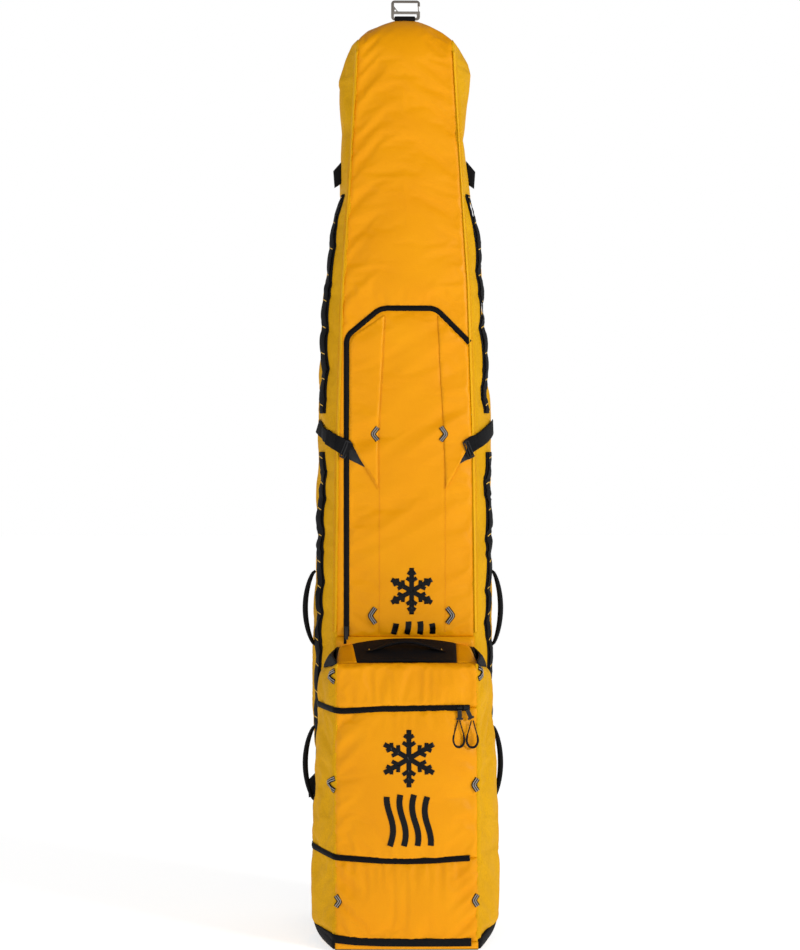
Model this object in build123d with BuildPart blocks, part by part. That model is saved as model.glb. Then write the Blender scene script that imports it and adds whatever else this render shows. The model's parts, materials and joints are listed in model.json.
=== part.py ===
"""A wheeled ski bag that stands on its base, with a boot and gear compartment on its front.

The origin is on the floor, at the middle of the base. +Z is up the bag, -Y is its front and +X is the wearer's
right when facing the front. All sizes are millimetres.
"""

from build123d import *
from math import cos, hypot, radians, sin, tan
import os

os.makedirs("parts", exist_ok=True)

# ---- driving sizes of the main bag -------------------------------------------------------------------------
WALL = 5.0  # padded fabric panel
GAP = 0.3  # between neighbouring pieces
TRAY_TOP = 100.0  # moulded base, below the fabric
# height, half width at the front seam, half width at the widest line, half depth
BAG_STATIONS = [
    (0, 142, 180, 85),
    (600, 140, 181, 85),
    (950, 135.5, 175, 85),
    (1290, 125, 158, 85),
    (1480, 113, 132, 75),
    (1585, 107, 125, 69),
    (1705, 100, 131, 63),
    (1795, 96, 100, 58),
]
BACK_CORNER = 22.0  # how far the rear edges turn in
BAG_TOP = 1842.0
CROWN_LOW = BAG_STATIONS[-1][0]

# ---- driving sizes of the flap -----------------------------------------------------------------------------
FLAP_LOW, FLAP_HIGH = 592.0, 1248.0
FLAP_LEFT = -118.0  # the zip's straight leg
FLAP_SHOULDER = 1192.0  # where the left leg turns
FLAP_SIDE_END = 1180.0  # where the zip meets the right seam
ZIP_HALF = 5.5  # half of a closed zip's width
TAPE = 1.6
SEAM_LEFT, SEAM_RIGHT = -55.0, 76.0  # sewn lines of the centre strip
STRAP_Z = 965.0  # height of the compression strap on the front

# ---- driving sizes of the gear compartment -----------------------------------------------------------------
GEAR_FRONT = -235.0
GEAR_BACK = -86.0
GEAR_HALF = 138.0  # half width of its front panel
GEAR_WIDE_Y = -150.0  # depth of its widest line
GEAR_STATIONS = [  # height, half width at the widest line
    (8, 158),
    (45, 177),
    (180, 178),
    (368, 169),
    (483, 160),
    (527, 157),
]
GEAR_TOP_FRONT, GEAR_TOP_BACK, GEAR_CROWN = 551.0, 573.0, 585.0
UPPER_ZIP, LOWER_ZIP, BOTTOM_ZIP = 468.0, 180.0, 18.0
ZIP_END = 121.0
DOOR_BACK = -110.0  # rear leg of the door's zip on the left side

# ---- driving sizes of the running gear ---------------------------------------------------------------------
WHEEL_R, WHEEL_W = 45.0, 30.0
WHEEL_X, WHEEL_Y = 138.0, 72.0
AXLE_R, BEARING_R, BEARING_W = 4.0, 11.0, 7.0
HOUSING_X, HOUSING_WALL = 22.0, 3.5


def between(stations, z, column):
    """A column of a table of stations at height z, along straight lines from one station to the next."""
    for low, high in zip(stations, stations[1:]):
        if z <= high[0]:
            share = (z - low[0]) / (high[0] - low[0])
            return low[column] + share * (high[column] - low[column])
    return stations[-1][column]


def front_half(z):
    return between(BAG_STATIONS, z, 1)


def wide_half(z):
    return between(BAG_STATIONS, z, 2)


def half_depth(z):
    return between(BAG_STATIONS, z, 3)


def gear_half(z):
    return between(GEAR_STATIONS, z, 1)


def shifted(points, gap):
    """A chain of points moved sideways by gap, to the right of its direction, with mitred corners."""
    normals = []
    for (ax, ay), (bx, by) in zip(points, points[1:]):
        length = hypot(bx - ax, by - ay)
        normals.append(((by - ay) / length, -(bx - ax) / length))
    moved = []
    for i, (x, y) in enumerate(points):
        before, after = normals[max(i - 1, 0)], normals[min(i, len(normals) - 1)]
        share = gap / (1 + before[0] * after[0] + before[1] * after[1])
        moved.append((x + share * (before[0] + after[0]), y + share * (before[1] + after[1])))
    return moved


def ribbon(points, near, far):
    """The closed outline of a strip that follows a chain, between two sideways distances."""
    return shifted(points, near) + shifted(points, far)[::-1]


def skin(levels, outline):
    """A panel lofted straight through one closed outline for each level."""
    with BuildPart() as panel:
        for z in levels:
            with BuildSketch(Plane.XY.offset(z)):
                with BuildLine():
                    Polyline(*outline(z), close=True)
                make_face()
        loft(ruled=True)
    return panel.part


def slab(outline, near_y, far_y):
    """A flat plate from its outline in X and Z, between two depths."""
    with BuildPart() as plate:
        with BuildSketch(Plane(origin=(0, near_y, 0), x_dir=(1, 0, 0), z_dir=(0, -1, 0))):
            with BuildLine():
                Polyline(*outline, close=True)
            make_face()
        extrude(amount=near_y - far_y)
    return plate.part


def block(x, y, z):
    """A plain box from its two limits along each axis."""
    middle = ((x[0] + x[1]) / 2, (y[0] + y[1]) / 2, (z[0] + z[1]) / 2)
    with BuildPart() as made:
        with Locations(middle):
            Box(x[1] - x[0], y[1] - y[0], z[1] - z[0])
    return made.part


def mirrored(part):
    with BuildPart() as other:
        add(part.mirror(Plane.YZ))
    return other.part


def joined(*parts):
    """Several solids as one group."""
    return Compound(children=list(parts))


def save(part, name):
    part.label = name
    export_step(part, f"parts/{name}.step")


# ---- the moulded base and its wheels -----------------------------------------------------------------------
def side_chain(z):
    """The outside of the right-hand side, from its front seam round to the back, at one height."""
    front, wide, depth = front_half(z), wide_half(z), half_depth(z)
    return [(front, -depth), (wide, 0), (wide, 0.65 * depth), (wide - BACK_CORNER, depth)]


def make_base():
    outer = side_chain(0)
    outer[-1] = (outer[-1][0] + BACK_CORNER - 8, outer[-1][1])
    outer = outer + [(-x, y) for x, y in outer[::-1]]
    notch = (WHEEL_X - HOUSING_X - GAP, WHEEL_X + HOUSING_X + GAP)
    floor = 4.0
    with BuildPart() as tray:
        with BuildSketch():
            with BuildLine():
                Polyline(*outer, close=True)
            make_face()
        extrude(amount=TRAY_TOP)
        fillet(tray.edges().filter_by(Axis.Z), radius=8)
        with BuildSketch(Plane.XY.offset(floor)):
            with BuildLine():
                Polyline(*outer, close=True)
            make_face()
            offset(amount=-4, mode=Mode.REPLACE)
        extrude(amount=TRAY_TOP, mode=Mode.SUBTRACT)
        for side in (-1, 1):
            x = sorted((side * notch[0], side * notch[1]))
            add(block(x, (WHEEL_Y - 54 - GAP, 100), (-1, TRAY_TOP + 1)), mode=Mode.SUBTRACT)
    save(tray.part, "base_tray")

    with BuildPart() as housing:
        add(block((WHEEL_X - HOUSING_X, WHEEL_X + HOUSING_X), (WHEEL_Y - 54, 98), (0, TRAY_TOP - 2)))
        with BuildSketch(Plane.YZ.offset(WHEEL_X - HOUSING_X + HOUSING_WALL)):
            with Locations((WHEEL_Y, WHEEL_R)):
                Circle(WHEEL_R + 3.5)
            with Locations((WHEEL_Y + 10, 0)):
                Rectangle(2 * WHEEL_R + 27, 2 * WHEEL_R)
        extrude(amount=2 * (HOUSING_X - HOUSING_WALL), mode=Mode.SUBTRACT)
        with BuildSketch(Plane.YZ.offset(WHEEL_X - HOUSING_X - 1)):
            with Locations((WHEEL_Y, WHEEL_R)):
                Circle(AXLE_R)
        extrude(amount=2 * HOUSING_X + 2, mode=Mode.SUBTRACT)
    save(joined(housing.part, mirrored(housing.part)), "wheel_housings")

    with BuildPart() as axle:
        with BuildSketch(Plane.YZ.offset(WHEEL_X - HOUSING_X - 2)):
            with Locations((WHEEL_Y, WHEEL_R)):
                Circle(AXLE_R)
        extrude(amount=2 * HOUSING_X + 4)
        for x in (WHEEL_X - HOUSING_X - 4, WHEEL_X + HOUSING_X):
            with BuildSketch(Plane.YZ.offset(x)):
                with Locations((WHEEL_Y, WHEEL_R)):
                    RegularPolygon(7.5, 6)
            extrude(amount=4)
    save(joined(axle.part, mirrored(axle.part)), "axles")


def ring(profile):
    """A wheel part turned about the wheel's axle, from (along the axle, radius) points."""
    centre = Plane(origin=(WHEEL_X, WHEEL_Y, WHEEL_R))
    with BuildPart() as turned:
        with BuildSketch(centre):
            with BuildLine():
                Polyline(*profile, close=True)
            make_face()
        revolve(axis=Axis((WHEEL_X, WHEEL_Y, WHEEL_R), (1, 0, 0)))
    return turned.part


def make_wheels():
    half, rim = WHEEL_W / 2, 32.0
    seat_in, seat_out = 6.0, 6.0 + BEARING_W
    tread = [(-half + 5, WHEEL_R), (half - 5, WHEEL_R)]
    tyre = ring([(-half, rim), (-half, WHEEL_R - 5)] + tread + [(half, WHEEL_R - 5), (half, rim)])
    right_side = [
        (half, rim), (half, 27), (4, 27), (4, 17), (seat_out, 17), (seat_out, BEARING_R), (seat_in, BEARING_R),
        (seat_in, 8),
    ]
    hub_ring = ring(right_side + [(-x, r) for x, r in right_side[::-1]])
    with BuildPart() as hub:
        add(hub_ring)
        with BuildSketch(Plane.YZ.offset(WHEEL_X - half)):
            with Locations((WHEEL_Y, WHEEL_R)):
                with PolarLocations(22, 6):
                    Circle(3.6)
        extrude(amount=WHEEL_W, mode=Mode.SUBTRACT)
    bore = AXLE_R + 0.03
    bearing = [(seat_in, bore), (seat_in, BEARING_R), (seat_out, BEARING_R), (seat_out, bore)]
    races = [ring(bearing), ring([(-x, r) for x, r in bearing])]
    for side, place in (("right", lambda part: part), ("left", mirrored)):
        save(place(tyre), f"tyre_{side}")
        save(place(hub.part), f"hub_{side}")
        save(joined(*[place(race) for race in races]), f"bearings_{side}")


# ---- the main bag's padded panels --------------------------------------------------------------------------
def side_outline(z):
    """The section of the right side panel, with its front end cut square to the front panel's edge."""
    outer = side_chain(z)
    inner = shifted(outer, -WALL)
    front = outer[0][0] + GAP
    (ax, ay), (bx, by) = inner[0], inner[1]
    inner[0] = (front, ay + (front - ax) / (bx - ax) * (by - ay))
    outer[0] = (front, outer[0][1])
    return outer + inner[::-1]


def levels_from(low, high):
    """The heights of a panel's sections: its two ends and every station between them."""
    return [low] + [row[0] for row in BAG_STATIONS if low < row[0] < high] + [high]


def flap_line(clearance=0.0):
    """The flap's zip line from its foot up the left leg and over to the right seam, grown by a clearance."""
    left, high = FLAP_LEFT - clearance, FLAP_HIGH + clearance
    shoulder = FLAP_SHOULDER + 0.4 * clearance
    end = front_half(FLAP_SIDE_END)
    return [
        (left, FLAP_LOW),
        (left, shoulder),
        (-50, high),
        (60, high),
        (end, FLAP_SIDE_END + 1.2 * clearance),
    ]


def flap_face(clearance):
    """A sketch of the opening under the zip line, out to past the right seam."""
    line = flap_line(clearance)
    with BuildSketch(Plane.XZ, mode=Mode.PRIVATE) as opening:
        with BuildLine():
            path = FilletPolyline(line[:4] + [line[4]], radius=30)
            right = front_half(FLAP_LOW) + 20
            Polyline(path @ 1, (right, FLAP_SIDE_END), (right, FLAP_LOW), path @ 0)
        make_face()
    return opening.sketch


def flap_prism(clearance, near_y, far_y):
    """The opening's shape between two depths."""
    with BuildPart() as prism:
        with BuildSketch(Plane.XZ.offset(-near_y)):
            add(flap_face(clearance))
        extrude(amount=near_y - far_y)
    return prism.part


def front_outline(z):
    edge, depth = front_half(z) - GAP, half_depth(z)
    return [(-edge, -depth), (edge, -depth), (edge, -depth + WALL), (-edge, -depth + WALL)]


def make_panels():
    right = skin(levels_from(TRAY_TOP + GAP, CROWN_LOW), side_outline)
    save(right, "side_panel_right")
    save(mirrored(right), "side_panel_left")

    def back_outline(z):
        edge, depth = wide_half(z) - BACK_CORNER - 4.5, half_depth(z)
        return [(-edge, depth), (edge, depth), (edge, depth - WALL), (-edge, depth - WALL)]

    save(skin(levels_from(TRAY_TOP + GAP, CROWN_LOW), back_outline), "back_panel")
    save(skin([TRAY_TOP + GAP, FLAP_LOW - GAP], front_outline), "front_wall_lower")

    with BuildPart() as hood:
        add(skin(levels_from(FLAP_LOW, CROWN_LOW), front_outline))
        add(flap_prism(GAP, -60, -100), mode=Mode.SUBTRACT)
    save(hood.part, "front_hood")

    edge, depth = wide_half(CROWN_LOW), half_depth(CROWN_LOW)
    roof = [(-edge, CROWN_LOW), (-94, 1804), (-22, BAG_TOP), (22, BAG_TOP), (94, 1804), (edge, CROWN_LOW)]
    hollow = [(-edge + 8, CROWN_LOW - 1), (-90, 1799), (-20, BAG_TOP - 6), (20, BAG_TOP - 6), (90, 1799)]
    hollow.append((edge - 8, CROWN_LOW - 1))
    with BuildPart() as crown:
        add(slab(roof, -depth, depth))
        add(slab(hollow, -depth + WALL, depth - WALL), mode=Mode.SUBTRACT)
        for x in (-1, 1):
            add(block((-21.4, 21.4), sorted((x * 3.6, x * 6)), (BAG_TOP - 8, BAG_TOP + 1)), mode=Mode.SUBTRACT)
        split(bisect_by=Plane.XY.offset(CROWN_LOW + GAP), keep=Keep.TOP)
    save(crown.part, "crown")

    with BuildPart() as sheet:
        with BuildSketch(Plane.XZ.offset(-77.6)):
            with Locations((0, 655)):
                RectangleRounded(260, 1090, 20)
        extrude(amount=-2)
    save(sheet.part, "frame_sheet")

    with BuildPart() as rails:
        for x in (-70, 70):
            with BuildSketch(Plane.XZ.offset(-92)):
                with Locations((x, 505)):
                    RectangleRounded(16, 790, 7)
            extrude(amount=92 - 85 - GAP)
        fillet(rails.faces().sort_by(Axis.Y)[-2:].edges(), radius=3)
    save(rails.part, "skid_rails")

    with BuildPart() as screws:
        for x in (-70, 70):
            for z in (130, 505, 880):
                with BuildSketch(Plane.XZ.offset(-93.5)):
                    with Locations((x, z)):
                        Circle(4.5)
                        RegularPolygon(2, 6, mode=Mode.SUBTRACT)
                extrude(amount=1.5)
    save(screws.part, "rail_screws")


def make_ski_straps():
    """Two hold-down straps, drawn flat against the frame sheet, each with its buckle closed."""
    webbing, sockets, tongues = [], [], []
    for z in (400, 1130):
        for x in ((-128, -16), (16, 128)):
            webbing.append(block(x, (73.6, 75.3), (z - 15, z + 15)))
        with BuildPart() as socket:
            add(block((-30, 8), (64, 73.3), (z - 19, z + 19)))
            add(block((-14, 9), (66, 71.3), (z - 15, z + 15)), mode=Mode.SUBTRACT)
            fillet(socket.edges().filter_by(Axis.Y).group_by(Axis.X)[0], radius=5)
        sockets.append(socket.part)
        with BuildPart() as tongue:
            add(block((8.4, 30), (65, 72.6), (z - 17, z + 17)))
            add(block((17, 24), (64, 73), (z - 14, z + 14)), mode=Mode.SUBTRACT)
            for side in (-1, 1):
                add(block((-12, 8.6), (66.6, 70.8), sorted((z + side * 7, z + side * 12))))
        tongues.append(tongue.part)
    save(joined(*webbing), "ski_straps")
    save(joined(*sockets), "ski_buckle_sockets")
    save(joined(*tongues), "ski_buckle_tongues")


# ---- the flap over the ski bay -----------------------------------------------------------------------------
def tape_band(inner, outer, near_y, far_y):
    """The part of a zip that lies between two clearances from the zip line."""
    with BuildPart() as band:
        add(flap_prism(outer, near_y, far_y))
        add(flap_prism(inner, near_y + 1, far_y - 1), mode=Mode.SUBTRACT)
        add(block((-200, front_half(FLAP_SIDE_END) - 1), (-120, -60), (FLAP_LOW, 1400)), mode=Mode.INTERSECT)
    return band.part


def zip_y():
    """The near and far depths of a tape on the front panel."""
    return -85 - GAP, -85 - GAP - TAPE


def make_flap():
    near, far = zip_y()
    right = [(front_half(z) - 2 * GAP, z) for z in (FLAP_LOW, 600, 950, 1290)]
    with BuildPart() as panel:
        add(flap_prism(-GAP, -80, -85))
        limit = [(-150, FLAP_LOW)] + right + [(-150, 1290)]
        add(slab(limit, -70, -90), mode=Mode.INTERSECT)
    save(panel.part, "flap_panel")
    foot = block((FLAP_LEFT - ZIP_HALF, FLAP_LEFT + ZIP_HALF), (far, near), (577.5, FLAP_LOW))
    with BuildPart() as fixed:
        add(tape_band(GAP, ZIP_HALF, near, far))
        add(foot)
    save(fixed.part, "bag_zip_tape")
    save(tape_band(-ZIP_HALF, -GAP, near, far), "flap_zip_tape")

    top = FLAP_HIGH - ZIP_HALF - 1
    wing_left = [(SEAM_LEFT, 885), (-111.5, 985), (-111.5, 1180), (SEAM_LEFT, top - 4)]
    wing_right = [(SEAM_RIGHT + 8, 889), (130.5, 983), (128, 1172), (SEAM_RIGHT, 1222)]
    gusset_left = [(-111.5, 978), (-111.5, 950), (-84, 939), (-60, 960), (-80, 1000)]
    gusset_right = [(124, 974), (118, 947), (100, 939), (88, 955), (110, 1000)]
    cloth = 1.2
    layer = -85 - GAP
    save(
        joined(slab(gusset_left, layer, layer - cloth), slab(gusset_right, layer, layer - cloth)),
        "strap_gussets",
    )
    layer = layer - cloth - GAP
    save(joined(slab(wing_left, layer, layer - cloth), slab(wing_right, layer, layer - cloth)), "flap_wings")

    save(joined(make_lock(-120, 966, 22), make_lock(126, 966, -22)), "ladder_locks")

    loops = [chevron(-55, 1000, -1, -88.3), chevron(72, 1000, 1, -88.3)]
    loops += [chevron(-58, 640, -1, -85.3), chevron(86, 640, 1, -85.3)]
    save(joined(*loops), "flap_loops")


def make_lock(x, z, turn):
    """A ladder lock: a frame with two slots, turned in its own plane so that its bars cross the strap."""
    across = (cos(radians(turn)), 0, -sin(radians(turn)))
    with BuildPart() as lock:
        with BuildSketch(Plane(origin=(x, -88.9, z), x_dir=across, z_dir=(0, -1, 0))):
            RectangleRounded(13, 37, 3)
            with GridLocations(5.4, 1, 2, 1):
                RectangleRounded(2.8, 30, 1, mode=Mode.SUBTRACT)
        extrude(amount=3.6)
        fillet(lock.faces().sort_by(Axis.Y)[0].outer_wire().edges(), radius=1.2)
    return lock.part


def chevron(x, z, side, y):
    """A lash loop: tape folded to a point, sewn in at the seam. side is the way that it points."""
    arm, reach, tape = 14.0, 16.0, 5.5
    outline = [
        (x, z + arm),
        (x + side * reach, z + 2),
        (x + side * reach, z - 2),
        (x, z - arm),
        (x, z - arm + tape + 3),
        (x + side * (reach - tape - 1), z),
        (x, z + arm - tape - 3),
    ]
    return slab(outline, y, y - 1.6)


# ---- the gear compartment ----------------------------------------------------------------------------------
def gear_chain(z, back=GEAR_BACK):
    wide = gear_half(z)
    return [(GEAR_HALF, GEAR_FRONT), (wide, GEAR_WIDE_Y), (wide, back)]


def gear_side_outline(z):
    outer = gear_chain(z)
    inner = shifted(outer, -WALL)
    front = GEAR_HALF + GAP
    (ax, ay), (bx, by) = inner[0], inner[1]
    inner[0] = (front, ay + (front - ax) / (bx - ax) * (by - ay))
    outer[0] = (front, GEAR_FRONT)
    return outer + inner[::-1]


def gear_levels(low, high):
    return [low] + [row[0] for row in GEAR_STATIONS if low < row[0] < high] + [high]


def side_band(low, high, back):
    """Half of a zip round the left side of the gear compartment, between two heights."""

    def outline(z):
        points = ribbon(gear_chain(z, back), GAP, GAP + TAPE)
        return [(-x, y) for x, y in points]

    return skin(gear_levels(low, high), outline)


def side_leg(low, high, front, back):
    """The upright leg of the door's zip, on the left side."""

    def outline(z):
        near, far = -gear_half(z) - GAP, -gear_half(z) - GAP - TAPE
        return [(near, front), (near, back), (far, back), (far, front)]

    return skin(gear_levels(low, high), outline)


def make_gear():
    low, high = GEAR_STATIONS[0][0], GEAR_STATIONS[-1][0]
    side = skin(gear_levels(low, high), gear_side_outline)
    save(side, "gear_side_right")
    left = mirrored(side)
    door_low, door_high = LOWER_ZIP + GAP, UPPER_ZIP - GAP
    window = ((-200, -GEAR_HALF), (GEAR_FRONT - 5, DOOR_BACK), (LOWER_ZIP - GAP, UPPER_ZIP + GAP))
    with BuildPart() as fixed_side:
        add(left)
        add(block(*window), mode=Mode.SUBTRACT)
    save(fixed_side.part, "gear_side_left")
    with BuildPart() as door_side:
        add(left)
        add(block((-200, -130), (GEAR_FRONT - 5, DOOR_BACK - 2 * GAP), (door_low, door_high)), mode=Mode.INTERSECT)
    save(door_side.part, "door_side")

    edge = GEAR_HALF - GAP
    front = (GEAR_FRONT, GEAR_FRONT + WALL)
    upper = block((-edge, edge), front, (UPPER_ZIP + GAP, GEAR_TOP_FRONT - 6 - GAP))
    save(joined(upper, block((-edge, edge), front, (low, LOWER_ZIP - GAP))), "gear_front_panels")
    save(block((-edge, edge - GAP), front, (door_low, door_high)), "door_front")

    with BuildPart() as base:
        with BuildSketch():
            with BuildLine():
                outer = gear_chain(low)
                Polyline(*(outer + [(-x, y) for x, y in outer[::-1]]), close=True)
            make_face()
        extrude(amount=low - GAP)
        fillet(base.faces().sort_by(Axis.Z)[0].edges(), radius=4)
    save(base.part, "gear_bottom")

    with BuildPart() as top:
        wide, rim = gear_half(high), high + GAP
        sections = [
            (-wide, -148, rim, rim),
            (-GEAR_HALF, GEAR_FRONT, GEAR_TOP_FRONT - 6, GEAR_TOP_BACK - 6),
            (0, GEAR_FRONT, GEAR_TOP_FRONT - 6, GEAR_CROWN - 6),
            (GEAR_HALF, GEAR_FRONT, GEAR_TOP_FRONT - 6, GEAR_TOP_BACK - 6),
            (wide, -148, rim, rim),
        ]
        for x, front_y, front_z, back_z in sections:
            with BuildSketch(Plane.YZ.offset(x)):
                with BuildLine():
                    Polyline(
                        (front_y, front_z), (GEAR_BACK, back_z), (GEAR_BACK, back_z + 6), (front_y, front_z + 6),
                        close=True,
                    )
                make_face()
        loft(ruled=True)
    save(top.part, "gear_top_panel")

    make_gear_zips(door_low, door_high)
    fixed_loops = [
        chevron(-141, 524, 1, -237.3), chevron(137, 524, 1, -237.3), chevron(-134, 101, 1, -235.3),
        chevron(134, 101, -1, -235.3),
    ]
    save(joined(*fixed_loops), "gear_loops")
    save(joined(chevron(-134, 318, 1, -235.3), chevron(136, 318, -1, -235.3)), "door_loops")


def make_gear_zips(door_low, door_high):
    near, far = GEAR_FRONT - GAP - TAPE, GEAR_FRONT - GAP
    left = -GEAR_HALF
    above, below = (UPPER_ZIP + GAP, UPPER_ZIP + ZIP_HALF), (LOWER_ZIP - ZIP_HALF, LOWER_ZIP - GAP)
    pieces = []
    for band in (above, below):
        pieces.append(block((left, ZIP_END), (near, far), band))
        pieces.append(side_band(*band, DOOR_BACK + ZIP_HALF))
    bottom = (BOTTOM_ZIP - 7.5, BOTTOM_ZIP + 7.5)
    pieces.append(block((left, ZIP_END + 3), (near, far), bottom))
    pieces.append(side_band(*bottom, -100))
    leg = side_leg(LOWER_ZIP, UPPER_ZIP, DOOR_BACK + GAP, DOOR_BACK + ZIP_HALF)
    with BuildPart() as fixed:
        for piece in pieces + [leg]:
            add(piece)
    save(fixed.part, "gear_zip_tape")

    with BuildPart() as moving:
        for band in ((door_high - ZIP_HALF, door_high), (door_low, door_low + ZIP_HALF)):
            add(block((left, ZIP_END), (near, far), band))
            add(side_band(*band, DOOR_BACK - 2 * GAP))
        add(side_leg(door_low, door_high, DOOR_BACK - ZIP_HALF, DOOR_BACK - 2 * GAP))
    save(moving.part, "door_zip_tape")


# ---- zip sliders, their pulls and cord loops ---------------------------------------------------------------
CORD_D = 2.4
PULL_LENGTH = 21.0
LOOP_HALF, LOOP_LENGTH = 11.4, 51.0
# Points of a hanging loop of cord, across and below the pull's foot.
LOOP_POINTS = [
    (-1.8, 0),
    (-5.4, 14),
    (-9.6, 28),
    (-LOOP_HALF, 40),
    (-7, 49.5),
    (0, LOOP_LENGTH + 1),
    (7, 49.5),
    (LOOP_HALF, 40),
    (9.6, 28),
    (5.4, 14),
    (1.8, 0),
]


def corner_radii(points, share=0.45):
    """The largest arc that each corner's two runs allow."""
    radii = []
    for a, b, c in zip(points, points[1:], points[2:]):
        before, after = Vector(*b) - Vector(*a), Vector(*c) - Vector(*b)
        turn = radians(before.get_angle(after))
        radii.append(share * min(before.length, after.length) / tan(turn / 2))
    return radii


def make_slider(x, y, z):
    """A slider's body on a level zip, wider at its nose, with a bridge for its pull. y is the tape's face."""
    with BuildPart() as body:
        with BuildSketch(Plane(origin=(x, y, z), x_dir=(1, 0, 0), z_dir=(0, -1, 0))):
            with BuildLine():
                Polyline((-5, -4.5), (-5, 4.5), (5, 3), (5, -3), close=True)
            make_face()
        extrude(amount=2.4)
        fillet(body.faces().sort_by(Axis.Y)[0].edges(), radius=0.7)
        for end in (-3.6, 3.6):
            add(block((x + end - 0.9, x + end + 0.9), (y - 4.6, y - 2.2), (z - 1.2, z + 1.2)))
        add(block((x - 4.5, x + 4.5), (y - 5.8, y - 4.6), (z - 1.2, z + 1.2)))
    return body.part


def hang_plane(x, y, z, lean):
    """A pull's own plane: its first axis points across the pull, and its second down it."""
    across = (cos(radians(lean)), 0, sin(radians(lean)))
    return Plane(origin=(x, y, z), x_dir=across, z_dir=(0, -1, 0))


def make_pull(name, x, y, z, lean):
    """A moulded tab that hangs from a slider's bridge, with a collar for its loop of cord."""
    plane = hang_plane(x, y, z, lean)
    with BuildPart() as pull:
        with BuildSketch(plane):
            with Locations((0, -PULL_LENGTH / 2 - 1)):
                RectangleRounded(8, PULL_LENGTH - 5, 1.5)
            with Locations((0, -PULL_LENGTH + 0.5)):
                RectangleRounded(13, 4, 1.5)
        extrude(amount=2.4)
    save(pull.part, name)


def make_cord(name, x, y, z):
    """A loop of cord that hangs plumb from a pull's collar. x, y and z are the loop's highest point."""
    points = [Vector(x + u, y, z - v) for u, v in LOOP_POINTS]
    radii = corner_radii([tuple(p) for p in points])
    print(name, "corner radii", [round(r, 1) for r in radii])
    with BuildPart() as cord:
        with BuildLine() as path:
            FilletPolyline(*points, radius=radii)
        with BuildSketch(Plane(origin=path.line @ 0, z_dir=path.line % 0)):
            Circle(CORD_D / 2)
        sweep(path=path.line)
    length = sum(edge.length for edge in path.edges())
    share = cord.part.volume / (length * 3.14159265 * CORD_D**2 / 4)
    print(name, "length", round(length, 1), "volume over section times length", round(share, 4))
    save(cord.part, name)


def make_sliders():
    face = GEAR_FRONT - GAP - TAPE - GAP
    for letter, x, lean, loop_x in (("a", 101.5, 0, 99.6), ("b", 114.5, 24, 125.6)):
        drop = cos(radians(lean)) * (PULL_LENGTH + 1.5) + 6.5 * sin(radians(lean)) + 0.7
        save(make_slider(x, face, UPPER_ZIP), f"gear_slider_{letter}")
        make_pull(f"gear_pull_{letter}", x, face - 6.2, UPPER_ZIP, lean)
        make_cord(f"pull_cord_{letter}", loop_x, face - 7.4, UPPER_ZIP - drop)

    flap_face_y = zip_y()[1] - GAP
    with BuildPart() as slider:
        with BuildSketch(Plane(origin=(FLAP_LEFT, flap_face_y, 606), x_dir=(1, 0, 0), z_dir=(0, -1, 0))):
            with BuildLine():
                Polyline((-3, -6), (3, -6), (4.5, 6), (-4.5, 6), close=True)
            make_face()
        extrude(amount=2.2)
        add(block((FLAP_LEFT - 1, FLAP_LEFT + 1), (flap_face_y - 4, flap_face_y - 2), (602, 610)))
    save(slider.part, "main_slider")
    with BuildPart() as pull:
        with BuildSketch(Plane(origin=(FLAP_LEFT, flap_face_y - 4.4, 597), x_dir=(1, 0, 0), z_dir=(0, -1, 0))):
            RectangleRounded(7, 22, 1.5)
        extrude(amount=1.6)
    save(pull.part, "main_pull")


# ---- straps, handles and the top hook ----------------------------------------------------------------------
def band_plane(place, across, up):
    """A plane whose first axis is the strap's thickness and whose second runs across the strap."""
    return Plane(origin=place, x_dir=across, z_dir=up)


def side_point(z, share, gap):
    """A point on the right side's slope from its front seam to its widest line, moved out by gap."""
    chain = shifted(side_chain(z)[:2], gap)
    (ax, ay), (bx, by) = chain
    return ax + share * (bx - ax), ay + share * (by - ay)


def side_strip(low, high, first, last, thick):
    """Webbing that runs up the right side's slope, between two shares of the slope."""

    def outline(z):
        near = [side_point(z, first, GAP), side_point(z, last, GAP)]
        far = [side_point(z, last, GAP + thick), side_point(z, first, GAP + thick)]
        return near + far

    return skin(levels_from(low, high), outline)


def cross_strap(start):
    """A compression strap on the right side, from a share of the slope up to the widest line."""
    half, thick = 14.0, 1.6
    places = []
    for share, z in ((start, STRAP_Z + 10 + 30 * start), (0.98, STRAP_Z + 42)):
        places.append((*side_point(z, share, GAP + 3.0), z))
    sections = []
    for x, y, z in places:
        slope = side_chain(z)
        run = Vector(slope[1][0] - slope[0][0], slope[1][1] - slope[0][1], 32).normalized()
        out = Vector(-(slope[0][1] - slope[1][1]), -(slope[1][0] - slope[0][0]), 0).normalized()
        sections.append(Plane(origin=(x, y, z), x_dir=-out, z_dir=run))
    with BuildPart() as strap:
        for plane in sections:
            with BuildSketch(plane):
                Rectangle(thick, 2 * half)
        loft(ruled=True)
    return strap.part


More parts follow.
